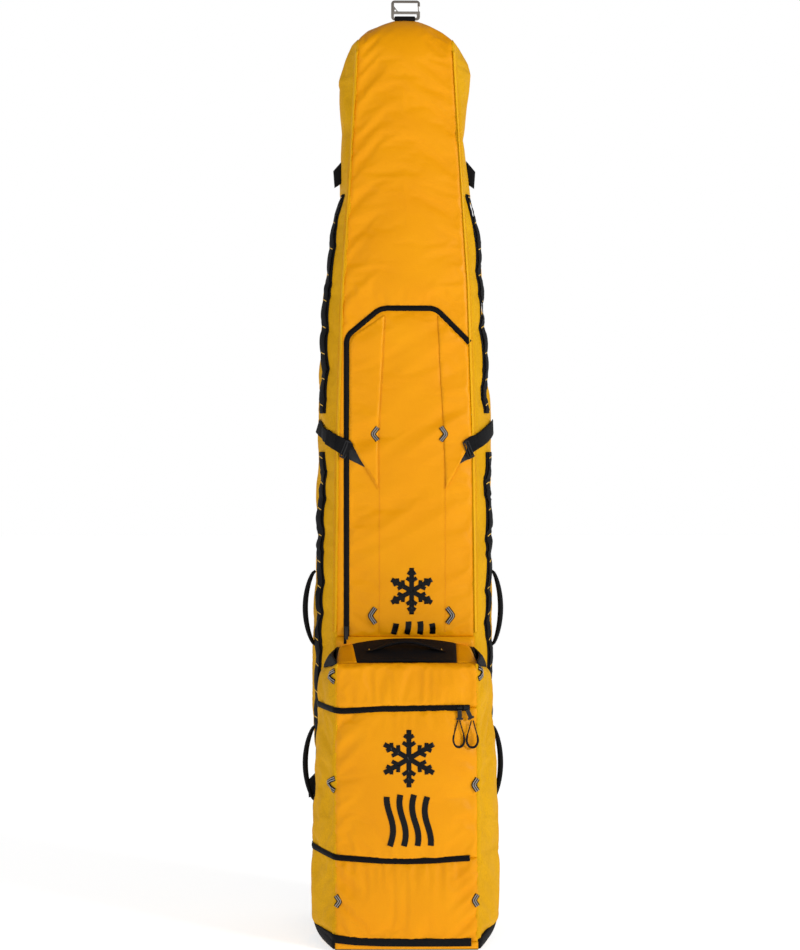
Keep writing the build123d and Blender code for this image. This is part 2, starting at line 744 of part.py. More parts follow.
def make_straps():
    save(cross_strap(0.16), "strap_webbing_right")
    tail = [(-121, STRAP_Z - 12), (-121, STRAP_Z + 16), (-137, STRAP_Z + 26), (-137, STRAP_Z - 4)]
    near = zip_y()[1] - GAP
    with BuildPart() as left:
        add(mirrored(cross_strap(0.03)))
        add(slab(tail, near, near - 1.4))
    save(left.part, "strap_webbing_left")

    strips = [side_strip(270, 940, 0.7, 0.97, 1.8), side_strip(1042, 1460, 0.7, 0.97, 1.8)]
    save(joined(*strips, *[mirrored(strip) for strip in strips]), "daisy_chains")

    tab = [(wide_half(1552) + GAP, 1552), (141, 1535), (139, 1498), (wide_half(1508) + GAP, 1508)]
    right_tab = slab(tab, -13, 12)
    low_tab = [(-182, 300), (-196, 290), (-197, 262), (-189, 252), (-182, 262)]
    save(joined(right_tab, mirrored(right_tab), slab(low_tab, 6, 30)), "side_tabs")

    handles = (
        ("handle_right_upper", 1, 574, 715, 194), ("handle_right_lower", 1, 258, 399, 197),
        ("handle_left_upper", -1, 574, 715, 194), ("handle_left_lower", -1, 258, 399, 197),
    )
    for name, side, low, high, reach in handles:
        save(arc_handle(side, low, high, reach), name)

    with BuildPart() as grip:
        with BuildLine() as path:
            ThreePointArc((-70, -160, 572.5), (0, -160, 587.5), (70, -160, 572.5))
        with BuildSketch(Plane(origin=path.line @ 0, x_dir=(0, 1, 0), z_dir=path.line % 0)):
            RectangleRounded(19, 7, 3)
        sweep(path=path.line)
    save(grip.part, "gear_handle")


HANDLE_Y = -12.0
HANDLE_END_X = 188.0


def arc_handle(side, low, high, reach):
    """A padded grab handle that bows out from the side between its two sewn ends."""
    with BuildPart() as handle:
        with BuildLine() as path:
            ThreePointArc(
                (side * HANDLE_END_X, HANDLE_Y, low),
                (side * reach, HANDLE_Y, (low + high) / 2),
                (side * HANDLE_END_X, HANDLE_Y, high),
            )
        with BuildSketch(Plane(origin=path.line @ 0, x_dir=(0, 1, 0), z_dir=path.line % 0)):
            RectangleRounded(15, 8, 3.5)
        sweep(path=path.line)
    return handle.part


HOOK_LOW = BAG_TOP + 3.0
HOOK_DEPTH = 5.0


def make_hook():
    """A flat metal hook with a wire gate, held by a loop of webbing through the crown."""
    low, width, height = HOOK_LOW, 59.0, 40.0
    left = -28.0
    plane = Plane(origin=(0, HOOK_DEPTH / 2, 0), x_dir=(1, 0, 0), z_dir=(0, -1, 0))
    with BuildPart() as frame:
        with BuildSketch(plane):
            with Locations((left + width / 2, low + height / 2)):
                RectangleRounded(width, height, 7)
            with Locations((left + width / 2 - 0.5, low + 8.6)):
                RectangleRounded(width - 12, 8.2, 2, mode=Mode.SUBTRACT)
            with BuildLine():
                near, far = left + 6, left + width - 5
                floor, top = low + 17.5, low + 35.5
                Polyline((near, top), (near, low + 28), (left + 14, floor), (far, floor), (far, top), close=True)
            make_face(mode=Mode.SUBTRACT)
            with Locations((left + width - 4, low + 23)):
                Rectangle(12, 11, mode=Mode.SUBTRACT)
            with Locations((left + 8.5, low + 19.5)):
                Circle(2.2, mode=Mode.SUBTRACT)
        extrude(amount=HOOK_DEPTH)
        fillet(frame.faces().sort_by(Axis.Y)[0].outer_wire().edges(), radius=1)
    save(frame.part, "hook_frame")

    with BuildPart() as gate:
        with BuildLine() as path:
            gate_x = left + width - 3
            Polyline((gate_x, 0, low + 17.9), (gate_x - 0.5, 0, low + 28.1))
        with BuildSketch(Plane(origin=path.line @ 0, z_dir=path.line % 0)):
            Circle(1.1)
        sweep(path=path.line)
    save(gate.part, "hook_gate")

    bar_z = low + 2.2
    with BuildPart() as loop:
        with BuildSketch(Plane.YZ.offset(-21)):
            with Locations((0, bar_z)):
                Circle(5.7)
            with Locations((0, (BAG_TOP - 6 + bar_z) / 2)):
                Rectangle(11.4, bar_z - BAG_TOP + 6)
            with Locations((0, bar_z)):
                Circle(4.0, mode=Mode.SUBTRACT)
            with Locations((0, (BAG_TOP - 8 + bar_z) / 2)):
                Rectangle(8, bar_z - BAG_TOP + 8, mode=Mode.SUBTRACT)
        extrude(amount=42)
    save(loop.part, "top_webbing")


def main():
    make_base()
    make_wheels()
    make_panels()
    make_ski_straps()
    make_flap()
    make_gear()
    make_sliders()
    make_straps()
    make_hook()


main()
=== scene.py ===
"""The looks of a wheeled ski bag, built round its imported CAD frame. Metres, Z up, front towards -Y."""

import json
import math

import bpy
import numpy as np
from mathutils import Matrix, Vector
from mathutils.geometry import delaunay_2d_cdt
from mathutils.kdtree import KDTree


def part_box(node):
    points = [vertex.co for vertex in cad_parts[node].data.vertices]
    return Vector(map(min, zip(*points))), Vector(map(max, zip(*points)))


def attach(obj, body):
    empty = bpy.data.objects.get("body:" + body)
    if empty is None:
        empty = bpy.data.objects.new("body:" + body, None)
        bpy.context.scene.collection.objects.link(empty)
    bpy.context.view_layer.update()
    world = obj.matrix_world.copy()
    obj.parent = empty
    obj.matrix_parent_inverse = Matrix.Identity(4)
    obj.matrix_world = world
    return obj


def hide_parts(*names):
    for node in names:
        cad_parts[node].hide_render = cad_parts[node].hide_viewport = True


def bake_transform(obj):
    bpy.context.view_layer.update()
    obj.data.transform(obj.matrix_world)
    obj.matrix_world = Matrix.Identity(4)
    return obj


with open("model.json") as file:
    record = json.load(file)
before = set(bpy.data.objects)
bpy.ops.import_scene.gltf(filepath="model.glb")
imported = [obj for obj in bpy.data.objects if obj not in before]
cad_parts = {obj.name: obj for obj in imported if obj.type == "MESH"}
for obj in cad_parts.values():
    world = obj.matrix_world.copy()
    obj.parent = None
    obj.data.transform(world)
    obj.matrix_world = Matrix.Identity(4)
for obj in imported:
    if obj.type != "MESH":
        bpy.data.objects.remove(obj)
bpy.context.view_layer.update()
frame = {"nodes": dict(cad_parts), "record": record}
MM = 0.001

# ---- camera ------------------------------------------------------------------------------------------------
EYE = Vector((-0.06, -3.885, 0.915))
AIM = Vector((-0.011, -0.085, 0.915))


def show(name, data):
    """A new object in the scene."""
    made = bpy.data.objects.new(name, data)
    bpy.context.scene.collection.objects.link(made)
    return made


def make_camera():
    data = bpy.data.cameras.new("camera")
    data.sensor_width = 36.0
    data.lens = 72.0
    camera = show("camera", data)
    camera.location = EYE
    camera.rotation_euler = (AIM - EYE).to_track_quat("-Z", "Y").to_euler()
    bpy.context.scene.camera = camera


make_camera()
bpy.context.scene.view_settings.view_transform = "Standard"


# ---- materials ---------------------------------------------------------------------------------------------
def linear(r, g, b):
    """A colour given as it looks on screen, in 8 bits a channel."""
    shares = [v / 255 for v in (r, g, b)]
    return tuple(v / 12.92 if v <= 0.04045 else ((v + 0.055) / 1.055) ** 2.4 for v in shares)


class Paint:
    """A new material, with short ways to add nodes and set its shader."""

    def __init__(self, name):
        self.mat = bpy.data.materials.new(name)
        self.mat.use_nodes = True
        self.tree = self.mat.node_tree
        self.link = self.tree.links.new
        self.shader = self.tree.nodes["Principled BSDF"]

    def add(self, kind, **values):
        node = self.tree.nodes.new("ShaderNode" + kind)
        for key, value in values.items():
            if hasattr(node, key):
                setattr(node, key, value)
            else:
                node.inputs[key.replace("_", " ")].default_value = value
        return node

    def math(self, operation, a, b=0.5):
        node = self.add("Math", operation=operation)
        for slot, value in zip(node.inputs, (a, b)):
            if isinstance(value, (int, float)):
                slot.default_value = value
            else:
                self.link(value, slot)
        return node.outputs[0]

    def noise(self, vector, scale, detail, roughness):
        noise = self.add("TexNoise", Scale=scale, Detail=detail, Roughness=roughness)
        self.link(vector, noise.inputs["Vector"])
        return noise.outputs[0]

    def worn_edge(self, low, high, amount):
        """Where the shape's convex edges are rubbed lighter."""
        edge = self.add("MapRange")
        for socket, value in zip((edge.inputs[1], edge.inputs[2], edge.inputs[4]), (low, high, amount)):
            socket.default_value = value
        self.link(self.add("NewGeometry").outputs["Pointiness"], edge.inputs[0])
        return edge.outputs[0]

    def colour(self, factor, dark, light):
        """A base colour that runs from dark to light."""
        ramp = self.add("ValToRGB")
        for element, colour in zip(ramp.color_ramp.elements, (dark, light)):
            element.color = (*colour, 1)
        self.link(factor, ramp.inputs[0])
        self.link(ramp.outputs[0], self.shader.inputs["Base Color"])

    def surface(self, fine, swing, roughness, height, strength, depth):
        """Roughness that varies with the fine noise, and the bump map."""
        rough = self.math("ADD", self.math("MULTIPLY", fine, swing), roughness - swing / 2)
        self.link(rough, self.shader.inputs["Roughness"])
        bump = self.add("Bump", Strength=strength, Distance=depth * MM)
        self.link(height, bump.inputs["Height"])
        self.link(bump.outputs[0], self.shader.inputs["Normal"])

    def set(self, **values):
        for key, value in values.items():
            self.shader.inputs[key.replace("_", " ")].default_value = value
        return self.mat


def fabric(
    name, dark, light, thread, depth, roughness,
    sheen=0.0, coat=0.0, grain=0.35, mottle=9.0, shine=0.3, speck=0.0,
):
    """Woven cloth. thread is the distance between yarns and depth the weave's height, both in millimetres."""
    paint = Paint(name)
    place = paint.add("TexCoord").outputs["Object"]
    axes = paint.add("SeparateXYZ")
    paint.link(place, axes.inputs[0])
    turn = paint.math("ADD", axes.outputs[0], paint.math("MULTIPLY", axes.outputs[1], 0.83))
    waves = []
    for source in (turn, axes.outputs[2]):
        scaled = paint.math("MULTIPLY", source, 2 * math.pi / (thread * MM))
        waves.append(paint.math("SINE", scaled))
    weave = paint.math("MULTIPLY_ADD", paint.math("MULTIPLY", *waves), 0.5)
    weave.node.inputs[2].default_value = 0.5
    fine = paint.noise(place, 900.0, 3.0, 0.6)
    broad = paint.noise(place, mottle, 4.0, 0.55)
    tone = paint.math("ADD", paint.math("MULTIPLY", weave, 0.35), paint.math("MULTIPLY", broad, 0.65))
    if speck:
        grains = paint.math("ADD", paint.noise(place, 520.0, 2.0, 0.5), -0.5)
        tone = paint.math("ADD", tone, paint.math("MULTIPLY", grains, speck))
    tone = paint.math("ADD", tone, paint.worn_edge(0.53, 0.62, 0.18))
    paint.colour(tone, linear(*dark), linear(*light))
    height = paint.math("ADD", weave, paint.math("MULTIPLY", fine, grain))
    paint.surface(fine, 0.16, roughness, height, 0.55, depth)
    paint.set(Sheen_Weight=sheen, Sheen_Roughness=0.5, Coat_Weight=coat, Coat_Roughness=0.35)
    return paint.set(Specular_IOR_Level=shine)


def moulded(name, dark, light, roughness, grain=1400.0, metallic=0.0, scratches=0.0, shine=0.3):
    """Moulded plastic, rubber or metal, with a fine surface texture and lighter worn edges."""
    paint = Paint(name)
    place = paint.add("TexCoord").outputs["Object"]
    stretch = paint.add("Mapping", Scale=(1.0, 1.0, 1.0 + 24.0 * scratches))
    paint.link(place, stretch.inputs[0])
    fine = paint.noise(stretch.outputs[0], grain, 4.0, 0.65)
    broad = paint.math("MULTIPLY", paint.noise(place, 28.0, 5.0, 0.6), 0.6)
    tone = paint.math("ADD", broad, paint.worn_edge(0.52, 0.64, 0.55))
    paint.colour(tone, linear(*dark), linear(*light))
    paint.surface(fine, 0.22, roughness, fine, 0.4, 0.05)
    return paint.set(Metallic=metallic, Specular_IOR_Level=shine)


ORANGE = fabric(
    "orange_laminate", (220, 136, 0), (239, 163, 0), 0.9, 0.03, 0.42, coat=0.02, shine=0.12, speck=0.25
)
YELLOW = fabric(
    "yellow_ballistic", (188, 132, 0), (232, 174, 6), 1.7, 0.34, 0.75, grain=0.7, shine=0.12, speck=1.3
)
PIPING = fabric("yellow_edge", (206, 148, 0), (234, 176, 8), 1.2, 0.1, 0.65, shine=0.12, speck=0.5)
WEBBING = fabric("black_webbing", (8, 8, 9), (26, 26, 28), 1.7, 0.3, 0.7, mottle=30.0, shine=0.08)
BLACK = fabric("black_fabric", (7, 7, 9), (24, 24, 27), 1.3, 0.18, 0.72, mottle=14.0, shine=0.08)
ZIP = fabric("zip_black", (6, 6, 7), (20, 20, 22), 0.9, 0.12, 0.62, mottle=40.0, shine=0.08)
MESH = fabric("mesh_grey", (14, 14, 15), (62, 62, 64), 2.2, 0.5, 0.7, mottle=60.0, shine=0.15)
REFLECT = fabric(
    "reflective_grey", (116, 110, 104), (170, 162, 154), 1.2, 0.12, 0.38, grain=0.6, mottle=80.0
)
THREAD = fabric("yellow_thread", (222, 160, 36), (250, 204, 92), 0.5, 0.12, 0.6)
TONAL = fabric("orange_thread", (206, 116, 0), (232, 144, 8), 0.5, 0.12, 0.55)
CORD = fabric("cord_black", (8, 8, 10), (26, 26, 30), 0.8, 0.15, 0.6, sheen=0.03, shine=0.15)
RUBBER = moulded("black_rubber", (8, 8, 9), (30, 30, 32), 0.62, shine=0.15)
PLASTIC = moulded("black_plastic", (10, 10, 11), (36, 36, 38), 0.42, shine=0.25)
BASE = moulded("base_plastic", (16, 16, 17), (46, 46, 48), 0.6, grain=700.0, shine=0.2)
SHEET = moulded("sheet_plastic", (34, 34, 36), (58, 58, 60), 0.45)
HUB = moulded("hub_plastic", (56, 56, 60), (98, 98, 102), 0.4)
TYRE = moulded("tyre", (10, 10, 10), (34, 34, 34), 0.75, grain=500.0, shine=0.15)
METAL = moulded("hook_metal", (96, 90, 84), (150, 144, 136), 0.36, grain=900.0, metallic=1.0, scratches=0.6)
STEEL = moulded(
    "plain_steel", (140, 140, 142), (186, 186, 190), 0.3, grain=900.0, metallic=1.0, scratches=1.0
)
VINYL = moulded("gloss_vinyl", (2, 2, 3), (9, 9, 11), 0.30, grain=240.0, shine=0.16)

SLOT_OF = {
    "orange_laminate": ORANGE, "yellow_ballistic": YELLOW, "black_webbing": WEBBING, "black_fabric": BLACK,
    "zip_black": ZIP, "mesh_grey": MESH, "reflective_grey": REFLECT, "cord_black": CORD,
    "plastic_black": PLASTIC, "plastic_base": BASE, "plastic_sheet": SHEET, "plastic_hub": HUB, "tyre": TYRE,
    "steel_hook": METAL, "steel_plain": STEEL,
}
USUAL_SLOT = {mat.name: slot for slot, mat in SLOT_OF.items()}
for part in frame["record"]["subparts"]:
    shown = frame["nodes"][part["node"]]
    shown.data.materials.clear()
    shown.data.materials.append(SLOT_OF[part["material_slot"]])


# ---- mesh helpers ------------------------------------------------------------------------------------------
def finish_mesh(name, verts, faces, mat, body, slot=None):
    """A smooth mesh object that rides on a body. The slot argument is not used."""
    mesh = bpy.data.meshes.new(name)
    mesh.from_pydata([tuple(map(float, v)) for v in verts], [], [tuple(map(int, f)) for f in faces])
    mesh.materials.append(mat)
    mesh.polygons.foreach_set("use_smooth", np.full(len(mesh.polygons), True))
    mesh.validate()
    mesh.update()
    made = show(name, mesh)
    if body:
        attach(made, body)
    slot or USUAL_SLOT[mat.name]
    return made


def floats(*values):
    return [np.asarray(value, float) for value in values]


def join(x, y, z):
    """Points from coordinates that may be arrays or single values."""
    return np.stack(np.broadcast_arrays(x, y, z), -1)


def lookup(table, z, column=1):
    """Straight-line interpolation in a table of rows that start with a height. z may be an array."""
    rows = np.array(table, float)
    return np.interp(z, rows[:, 0], rows[:, column])


class Noise:
    """Smooth seeded gradient noise in two dimensions, for arrays, in about -1 to 1."""

    def __init__(self, seed):
        rng = np.random.RandomState(seed)
        angles = rng.rand(256) * 2 * np.pi
        self.gx, self.gy = np.cos(angles), np.sin(angles)
        self.perm = rng.permutation(256)

    def __call__(self, a, b):
        a, b = floats(a, b)
        ia, ib = np.floor(a).astype(int), np.floor(b).astype(int)
        fa, fb = a - ia, b - ib
        total = 0
        for da in (0, 1):
            for db in (0, 1):
                pick = self.perm[(self.perm[(ia + da) % 256] + ib + db) % 256]
                dot = self.gx[pick] * (fa - da) + self.gy[pick] * (fb - db)
                wa = np.abs(1 - da - fa)
                wb = np.abs(1 - db - fb)
                wa = wa**3 * (wa * (wa * 6 - 15) + 10)
                wb = wb**3 * (wb * (wb * 6 - 15) + 10)
                total = total + dot * wa * wb
        return total * 1.5


FOLDS = [Noise(seed) for seed in range(11, 23)]


def smooth_step(low, high, value):
    share = np.clip((np.asarray(value, float) - low) / (high - low), 0, 1)
    return share * share * (3 - 2 * share)


def hump(value, centre, width):
    return np.exp(-(((np.asarray(value, float) - centre) / width) ** 2))


def segment_distance(points, line):
    """Each point's distance to a chain of segments, in two dimensions."""
    points = np.asarray(points, float)
    best = np.full(len(points), 1e9)
    for a, b in zip(line, line[1:]):
        a, b = np.array(a, float), np.array(b, float)
        run = b - a
        share = np.clip(((points - a) @ run) / max(run @ run, 1e-12), 0, 1)
        best = np.minimum(best, np.linalg.norm(points - (a + share[:, None] * run), axis=1))
    return best


def resample(line, step):
    """Points along a chain, no further apart than step, with its corners kept."""
    made = [tuple(line[0])]
    for a, b in zip(line, line[1:]):
        length = math.dist(a, b)
        count = max(1, math.ceil(length / step - 1e-6))
        for i in range(1, count + 1):
            made.append(tuple(np.array(a, float) + (np.array(b, float) - np.array(a, float)) * i / count))
    return made


def rounded(line, radius, steps=6):
    """A chain with its corners rounded off by short quadratic curves."""
    made = [line[0]]
    for a, b, c in zip(line, line[1:], line[2:]):
        a, b, c = (np.array(p, float) for p in (a, b, c))
        reach = min(radius, 0.45 * np.linalg.norm(b - a), 0.45 * np.linalg.norm(c - b))
        start = b + (a - b) / np.linalg.norm(a - b) * reach
        end = b + (c - b) / np.linalg.norm(c - b) * reach
        for i in range(steps + 1):
            t = i / steps
            made.append(tuple((1 - t) ** 2 * start + 2 * t * (1 - t) * b + t * t * end))
    made.append(line[-1])
    return [tuple(map(float, p)) for p in made]


def chaikin(line, times):
    """Corner cutting that keeps the ends."""
    line = [np.array(p, float) for p in line]
    for _ in range(times):
        cut = [line[0]]
        for i, (a, b) in enumerate(zip(line, line[1:])):
            if i > 0:
                cut.append(0.75 * a + 0.25 * b)
            if i < len(line) - 2:
                cut.append(0.25 * a + 0.75 * b)
        cut.append(line[-1])
        line = cut
    return np.array(line)


def normals_of(surface, a, b, eps=0.0008):
    """Unit normals of a surface that gives points from two arrays: its first direction cross its second."""
    du = surface(a + eps, b) - surface(a - eps, b)
    dv = surface(a, b + eps) - surface(a, b - eps)
    normal = np.cross(du, dv)
    return normal / np.maximum(np.linalg.norm(normal, axis=1), 1e-12)[:, None]


def inside(points, ring):
    """Which points are in a closed ring."""
    x, y = points[:, 0], points[:, 1]
    hit = np.zeros(len(points), bool)
    for (ax, ay), (bx, by) in zip(ring, ring[1:] + ring[:1]):
        cross = (ay > y) != (by > y)
        with np.errstate(divide="ignore", invalid="ignore"):
            at = (bx - ax) * (y - ay) / (by - ay) + ax
        hit ^= cross & (x < at)
    return hit


SETTLE_FRAMES = 20


def settle(points, faces, pinned, pressure, grow):
    """Lets a cloth that is a little larger than its place bulge and crease between its pinned points."""
    mesh = bpy.data.meshes.new("settling")
    mesh.from_pydata([tuple(map(float, p)) for p in points], [], faces)
    cloth = show("settling", mesh)
    group = cloth.vertex_groups.new(name="pin")
    group.add([int(i) for i in pinned], 1.0, "REPLACE")
    modifier = cloth.modifiers.new("cloth", "CLOTH")
    feel = modifier.settings
    feel.quality = 4
    feel.mass = 0.25
    feel.tension_stiffness = feel.compression_stiffness = 18
    feel.shear_stiffness = 8
    feel.bending_stiffness = 0.05
    feel.vertex_group_mass = "pin"
    feel.shrink_min = feel.shrink_max = -grow
    feel.use_pressure = True
    feel.uniform_pressure_force = pressure
    feel.effector_weights.gravity = 0
    modifier.collision_settings.use_collision = False
    scene = bpy.context.scene
    for number in range(1, SETTLE_FRAMES + 1):
        scene.frame_set(number)
    worn = cloth.evaluated_get(bpy.context.evaluated_depsgraph_get()).to_mesh()
    made = np.empty(3 * len(worn.vertices))
    worn.vertices.foreach_get("co", made)
    bpy.data.objects.remove(cloth)
    scene.frame_set(1)
    return made.reshape(-1, 3)


class Draped:
    """A surface with the shape that its cloth took, for the pieces sewn onto it."""

    def __init__(self, surface, flat, moved, cell=0.003):
        self.surface, self.cell = surface, cell
        self.low = flat.min(0) - cell
        size = np.ceil((flat.max(0) + cell - self.low) / cell).astype(int) + 1
        tree = KDTree(len(flat))
        for i, (a, b) in enumerate(flat):
            tree.insert((a, b, 0), i)
        tree.balance()
        self.grid = np.zeros((*size, 3))
        for i in range(size[0]):
            for j in range(size[1]):
                near = tree.find_n((*(self.low + cell * np.array([i, j])), 0), 3)
                weight = np.array([1 / (n[2] + 1e-5) for n in near])
                self.grid[i, j] = (moved[[n[1] for n in near]] * weight[:, None]).sum(0) / weight.sum()

    def __call__(self, a, b):
        a, b = np.broadcast_arrays(*floats(a, b))
        i = np.clip((a - self.low[0]) / self.cell, 0, self.grid.shape[0] - 1.001)
        j = np.clip((b - self.low[1]) / self.cell, 0, self.grid.shape[1] - 1.001)
        i0, j0 = i.astype(int), j.astype(int)
        u, v = (i - i0)[..., None], (j - j0)[..., None]
        g = self.grid
        low = g[i0, j0] * (1 - u) + g[i0 + 1, j0] * u
        high = g[i0, j0 + 1] * (1 - u) + g[i0 + 1, j0 + 1] * u
        return self.surface(a, b) + low * (1 - v) + high * v


def panel(
    name, ring, surface, mat, body, step=0.005, thick=0.004, sink=0.0025, roll=0.006, relief=None, soft=None
):
    """A sewn cloth panel: a closed shell over a surface, cut to a ring in the surface's own two coordinates.
    It sinks into its seams, and relief moves it outwards. soft is the pressure, the spare cloth's share and
    how far the cloth may move. Returns the object and the surface that the cloth took."""
    ring = [tuple(p) for p in resample(list(ring) + [ring[0]], step)[:-1]]
    corners = np.array(ring)
    low, high = corners.min(0), corners.max(0)
    grid = []
    rows = int((high[1] - low[1]) / (step * 0.87)) + 2
    cols = int((high[0] - low[0]) / step) + 2
    for j in range(rows):
        for i in range(cols):
            grid.append((low[0] + (i + 0.5 * (j % 2)) * step, low[1] + j * step * 0.87))
    grid = np.array(grid)
    grid = grid[inside(grid, ring)]
    grid = grid[segment_distance(grid, ring + [ring[0]]) > 0.55 * step]
    points = [Vector(p) for p in ring] + [Vector(p) for p in grid]
    edges = [(i, (i + 1) % len(ring)) for i in range(len(ring))]
    flat, _, faces, _, _, _ = delaunay_2d_cdt(points, edges, [], 1, 1e-7)
    flat = np.array([tuple(p) for p in flat])
    away = segment_distance(flat, ring + [ring[0]])
    a, b = flat[:, 0], flat[:, 1]
    base = surface(a, b)
    normal = normals_of(surface, a, b)
    lift = -sink * np.exp(-((away / roll) ** 1.5))
    if relief is not None:
        lift = lift + relief(a, b) * (1 - np.exp(-away / 0.012))
    outer = base + normal * lift[:, None]
    tally = {(p, q) for face in faces for p, q in zip(face, face[1:] + face[:1])}
    border = [(p, q) for (p, q) in tally if (q, p) not in tally]
    first = faces[0]
    p0, p1, p2 = (outer[i] for i in first)
    flip = np.dot(np.cross(p1 - p0, p2 - p0), normal[first[0]]) < 0
    if flip:
        faces = [face[::-1] for face in faces]
        border = [(q, p) for p, q in border]
    if soft:
        pressure, grow, cap = soft
        moved = settle(outer, faces, sorted({p for pair in border for p in pair}), pressure, grow) - outer
        reach = np.linalg.norm(moved, axis=1)[:, None]
        outer = outer + moved * (cap * np.tanh(reach / cap) / np.maximum(reach, 1e-9))
    count = len(flat)
    shape = outer - base
    depth = np.minimum(np.sum(shape * normal, axis=1), 0.0) - thick
    inner = base + shape - normal * (np.sum(shape * normal, axis=1) - depth)[:, None]
    made = []
    for face in faces:
        made.append(tuple(face))
        made.append(tuple(i + count for i in face[::-1]))
    for p, q in border:
        made.append((q, p, p + count, q + count))
    cloth = finish_mesh(name, np.vstack([outer, inner]), made, mat, body)
    return cloth, Draped(surface, flat, shape)


# outline of a strap's section: across, and out from the surface it lies on
FLAT = [(-0.5, 0.0), (-0.5, 0.55), (-0.44, 1.0), (0.44, 1.0), (0.5, 0.55), (0.5, 0.0)]


def sweep(points, outs, width, thick, lift=0.0, section=FLAT):
    """The mesh of a band that follows points, with outs the directions away from what it lies on."""
    points, outs = floats(points, outs)
    count, many = len(points), len(section)
    along = np.gradient(points, axis=0)
    along /= np.maximum(np.linalg.norm(along, axis=1), 1e-12)[:, None]
    outs = outs - along * np.sum(outs * along, axis=1)[:, None]
    outs /= np.maximum(np.linalg.norm(outs, axis=1), 1e-12)[:, None]
    sides = np.cross(along, outs)
    widths = np.broadcast_to(width, (count,))
    thicks = np.broadcast_to(thick, (count,))
    lifts = np.broadcast_to(lift, (count,))
    verts = []
    for i in range(count):
        for across, out in section:
            verts.append(points[i] + sides[i] * across * widths[i] + outs[i] * (out * thicks[i] + lifts[i]))
    faces = []
    for i in range(count - 1):
        for j in range(many):
            k = (j + 1) % many
            faces.append((i * many + j, i * many + k, (i + 1) * many + k, (i + 1) * many + j))
    faces.append(tuple(range(many))[::-1])
    faces.append(tuple((count - 1) * many + j for j in range(many)))
    return verts, faces


def merge(parts):
    """Several (verts, faces) as one."""
    verts, faces = [], []
    for v, f in parts:
        base = len(verts)
        verts.extend(v)
        faces.extend(tuple(base + i for i in face) for face in f)
    return verts, faces


def lay(surface, line, width, thick, lift=0.0, step=0.006, section=FLAT):
    """A band laid on a surface along a line in the surface's coordinates."""
    line = np.array(resample(line, step))
    points = surface(line[:, 0], line[:, 1])
    outs = normals_of(surface, line[:, 0], line[:, 1])
    return sweep(points, outs, width, thick, lift, section)


def stitches(surface, line, pitch=0.0042, length=0.0028, width=0.0007):
    """A row of separate stitches along a line on a surface."""
    line = np.array(resample(line, 0.002))
    hops = np.linalg.norm(np.diff(surface(line[:, 0], line[:, 1]), axis=0), axis=1)
    runs = np.concatenate([[0], np.cumsum(hops)])
    made = []
    thick = [0.0003, 0.0006, 0.0003]
    start = 0.5 * pitch
    while start + length < runs[-1]:
        at = np.array([start, start + 0.5 * length, start + length])
        a, b = np.interp(at, runs, line[:, 0]), np.interp(at, runs, line[:, 1])
        points, outs = surface(a, b), normals_of(surface, a, b)
        made.append(sweep(points, outs, width, thick))
        start += pitch
    return merge(made)


# ---- the bag's surfaces ------------------------------------------------------------------------------------
# height, half width at the front seam, half depth
BODY = [
    (0.0, 0.142, 0.085), (0.6, 0.1395, 0.085), (0.95, 0.1355, 0.085), (1.29, 0.125, 0.085),
    (1.48, 0.1135, 0.075), (1.585, 0.1075, 0.069), (1.705, 0.1005, 0.063), (1.795, 0.096, 0.058),
]
SIDE_TOP = 1.803  # where the side cloth ends
# height, half width at the widest line: the cloth bellies out more on the left
WIDE_LEFT = [
    (0.0, 0.186), (0.6, 0.187), (0.95, 0.178), (1.115, 0.1745), (1.24, 0.168), (1.29, 0.164), (1.396, 0.150),
    (1.48, 0.135), (1.545, 0.131), (1.6, 0.1315), (1.673, 0.133), (1.717, 0.136), (1.761, 0.122),
    (1.79, 0.108), (SIDE_TOP, 0.0975),
]
WIDE_RIGHT = [
    (0.0, 0.179), (0.6, 0.178), (0.95, 0.1775), (1.115, 0.171), (1.24, 0.162), (1.29, 0.159), (1.396, 0.149),
    (1.48, 0.132), (1.545, 0.125), (1.6, 0.1245), (1.673, 0.1285), (1.737, 0.134), (1.757, 0.129),
    (1.787, 0.110), (SIDE_TOP, 0.0975),
]


def ridge_drop(x):
    """How far the bag's top falls from its middle to its shoulders."""
    places, drops = [0.0, 0.022, 0.05, 0.075, 0.098, 0.13], [0.0, 0.001, 0.010, 0.020, 0.038, 0.07]
    return np.interp(np.abs(x), places, drops)


def front_y(x, z):
    """The front cloth's depth, crowned between its two seams."""
    half = lookup(BODY, z)
    crown = 0.007 * np.clip(1 - (x / half) ** 2, 0, 1) ** 1.3
    return -lookup(BODY, z, 2) - crown


# front and crown are one cloth: its second coordinate is the height, and goes on over the top past CROWN.
# each row: that coordinate, the depth, the height, and the share of the fall towards the shoulders
OVER_FRONT = [
    (1.74, -0.0615, 1.74, 0.0), (1.77, -0.0595, 1.77, 0.0), (1.80, -0.054, 1.798, 0.25),
    (1.82, -0.044, 1.816, 0.55), (1.84, -0.029, 1.831, 0.85), (1.855, -0.015, 1.8385, 1.0),
]
OVER_BACK = [
    (1.885, 0.015, 1.8385, 1.0), (1.90, 0.029, 1.831, 0.85), (1.92, 0.044, 1.816, 0.55),
    (1.94, 0.054, 1.798, 0.25), (1.97, 0.0595, 1.77, 0.0), (2.0, 0.0615, 1.74, 0.0),
]
OVER = chaikin([*OVER_FRONT, (1.87, 0.0, 1.841, 1.0), *OVER_BACK], 3)
OVER = sorted(tuple(row) for row in OVER if row[0] > 1.744)
CROWN = OVER[0][0]


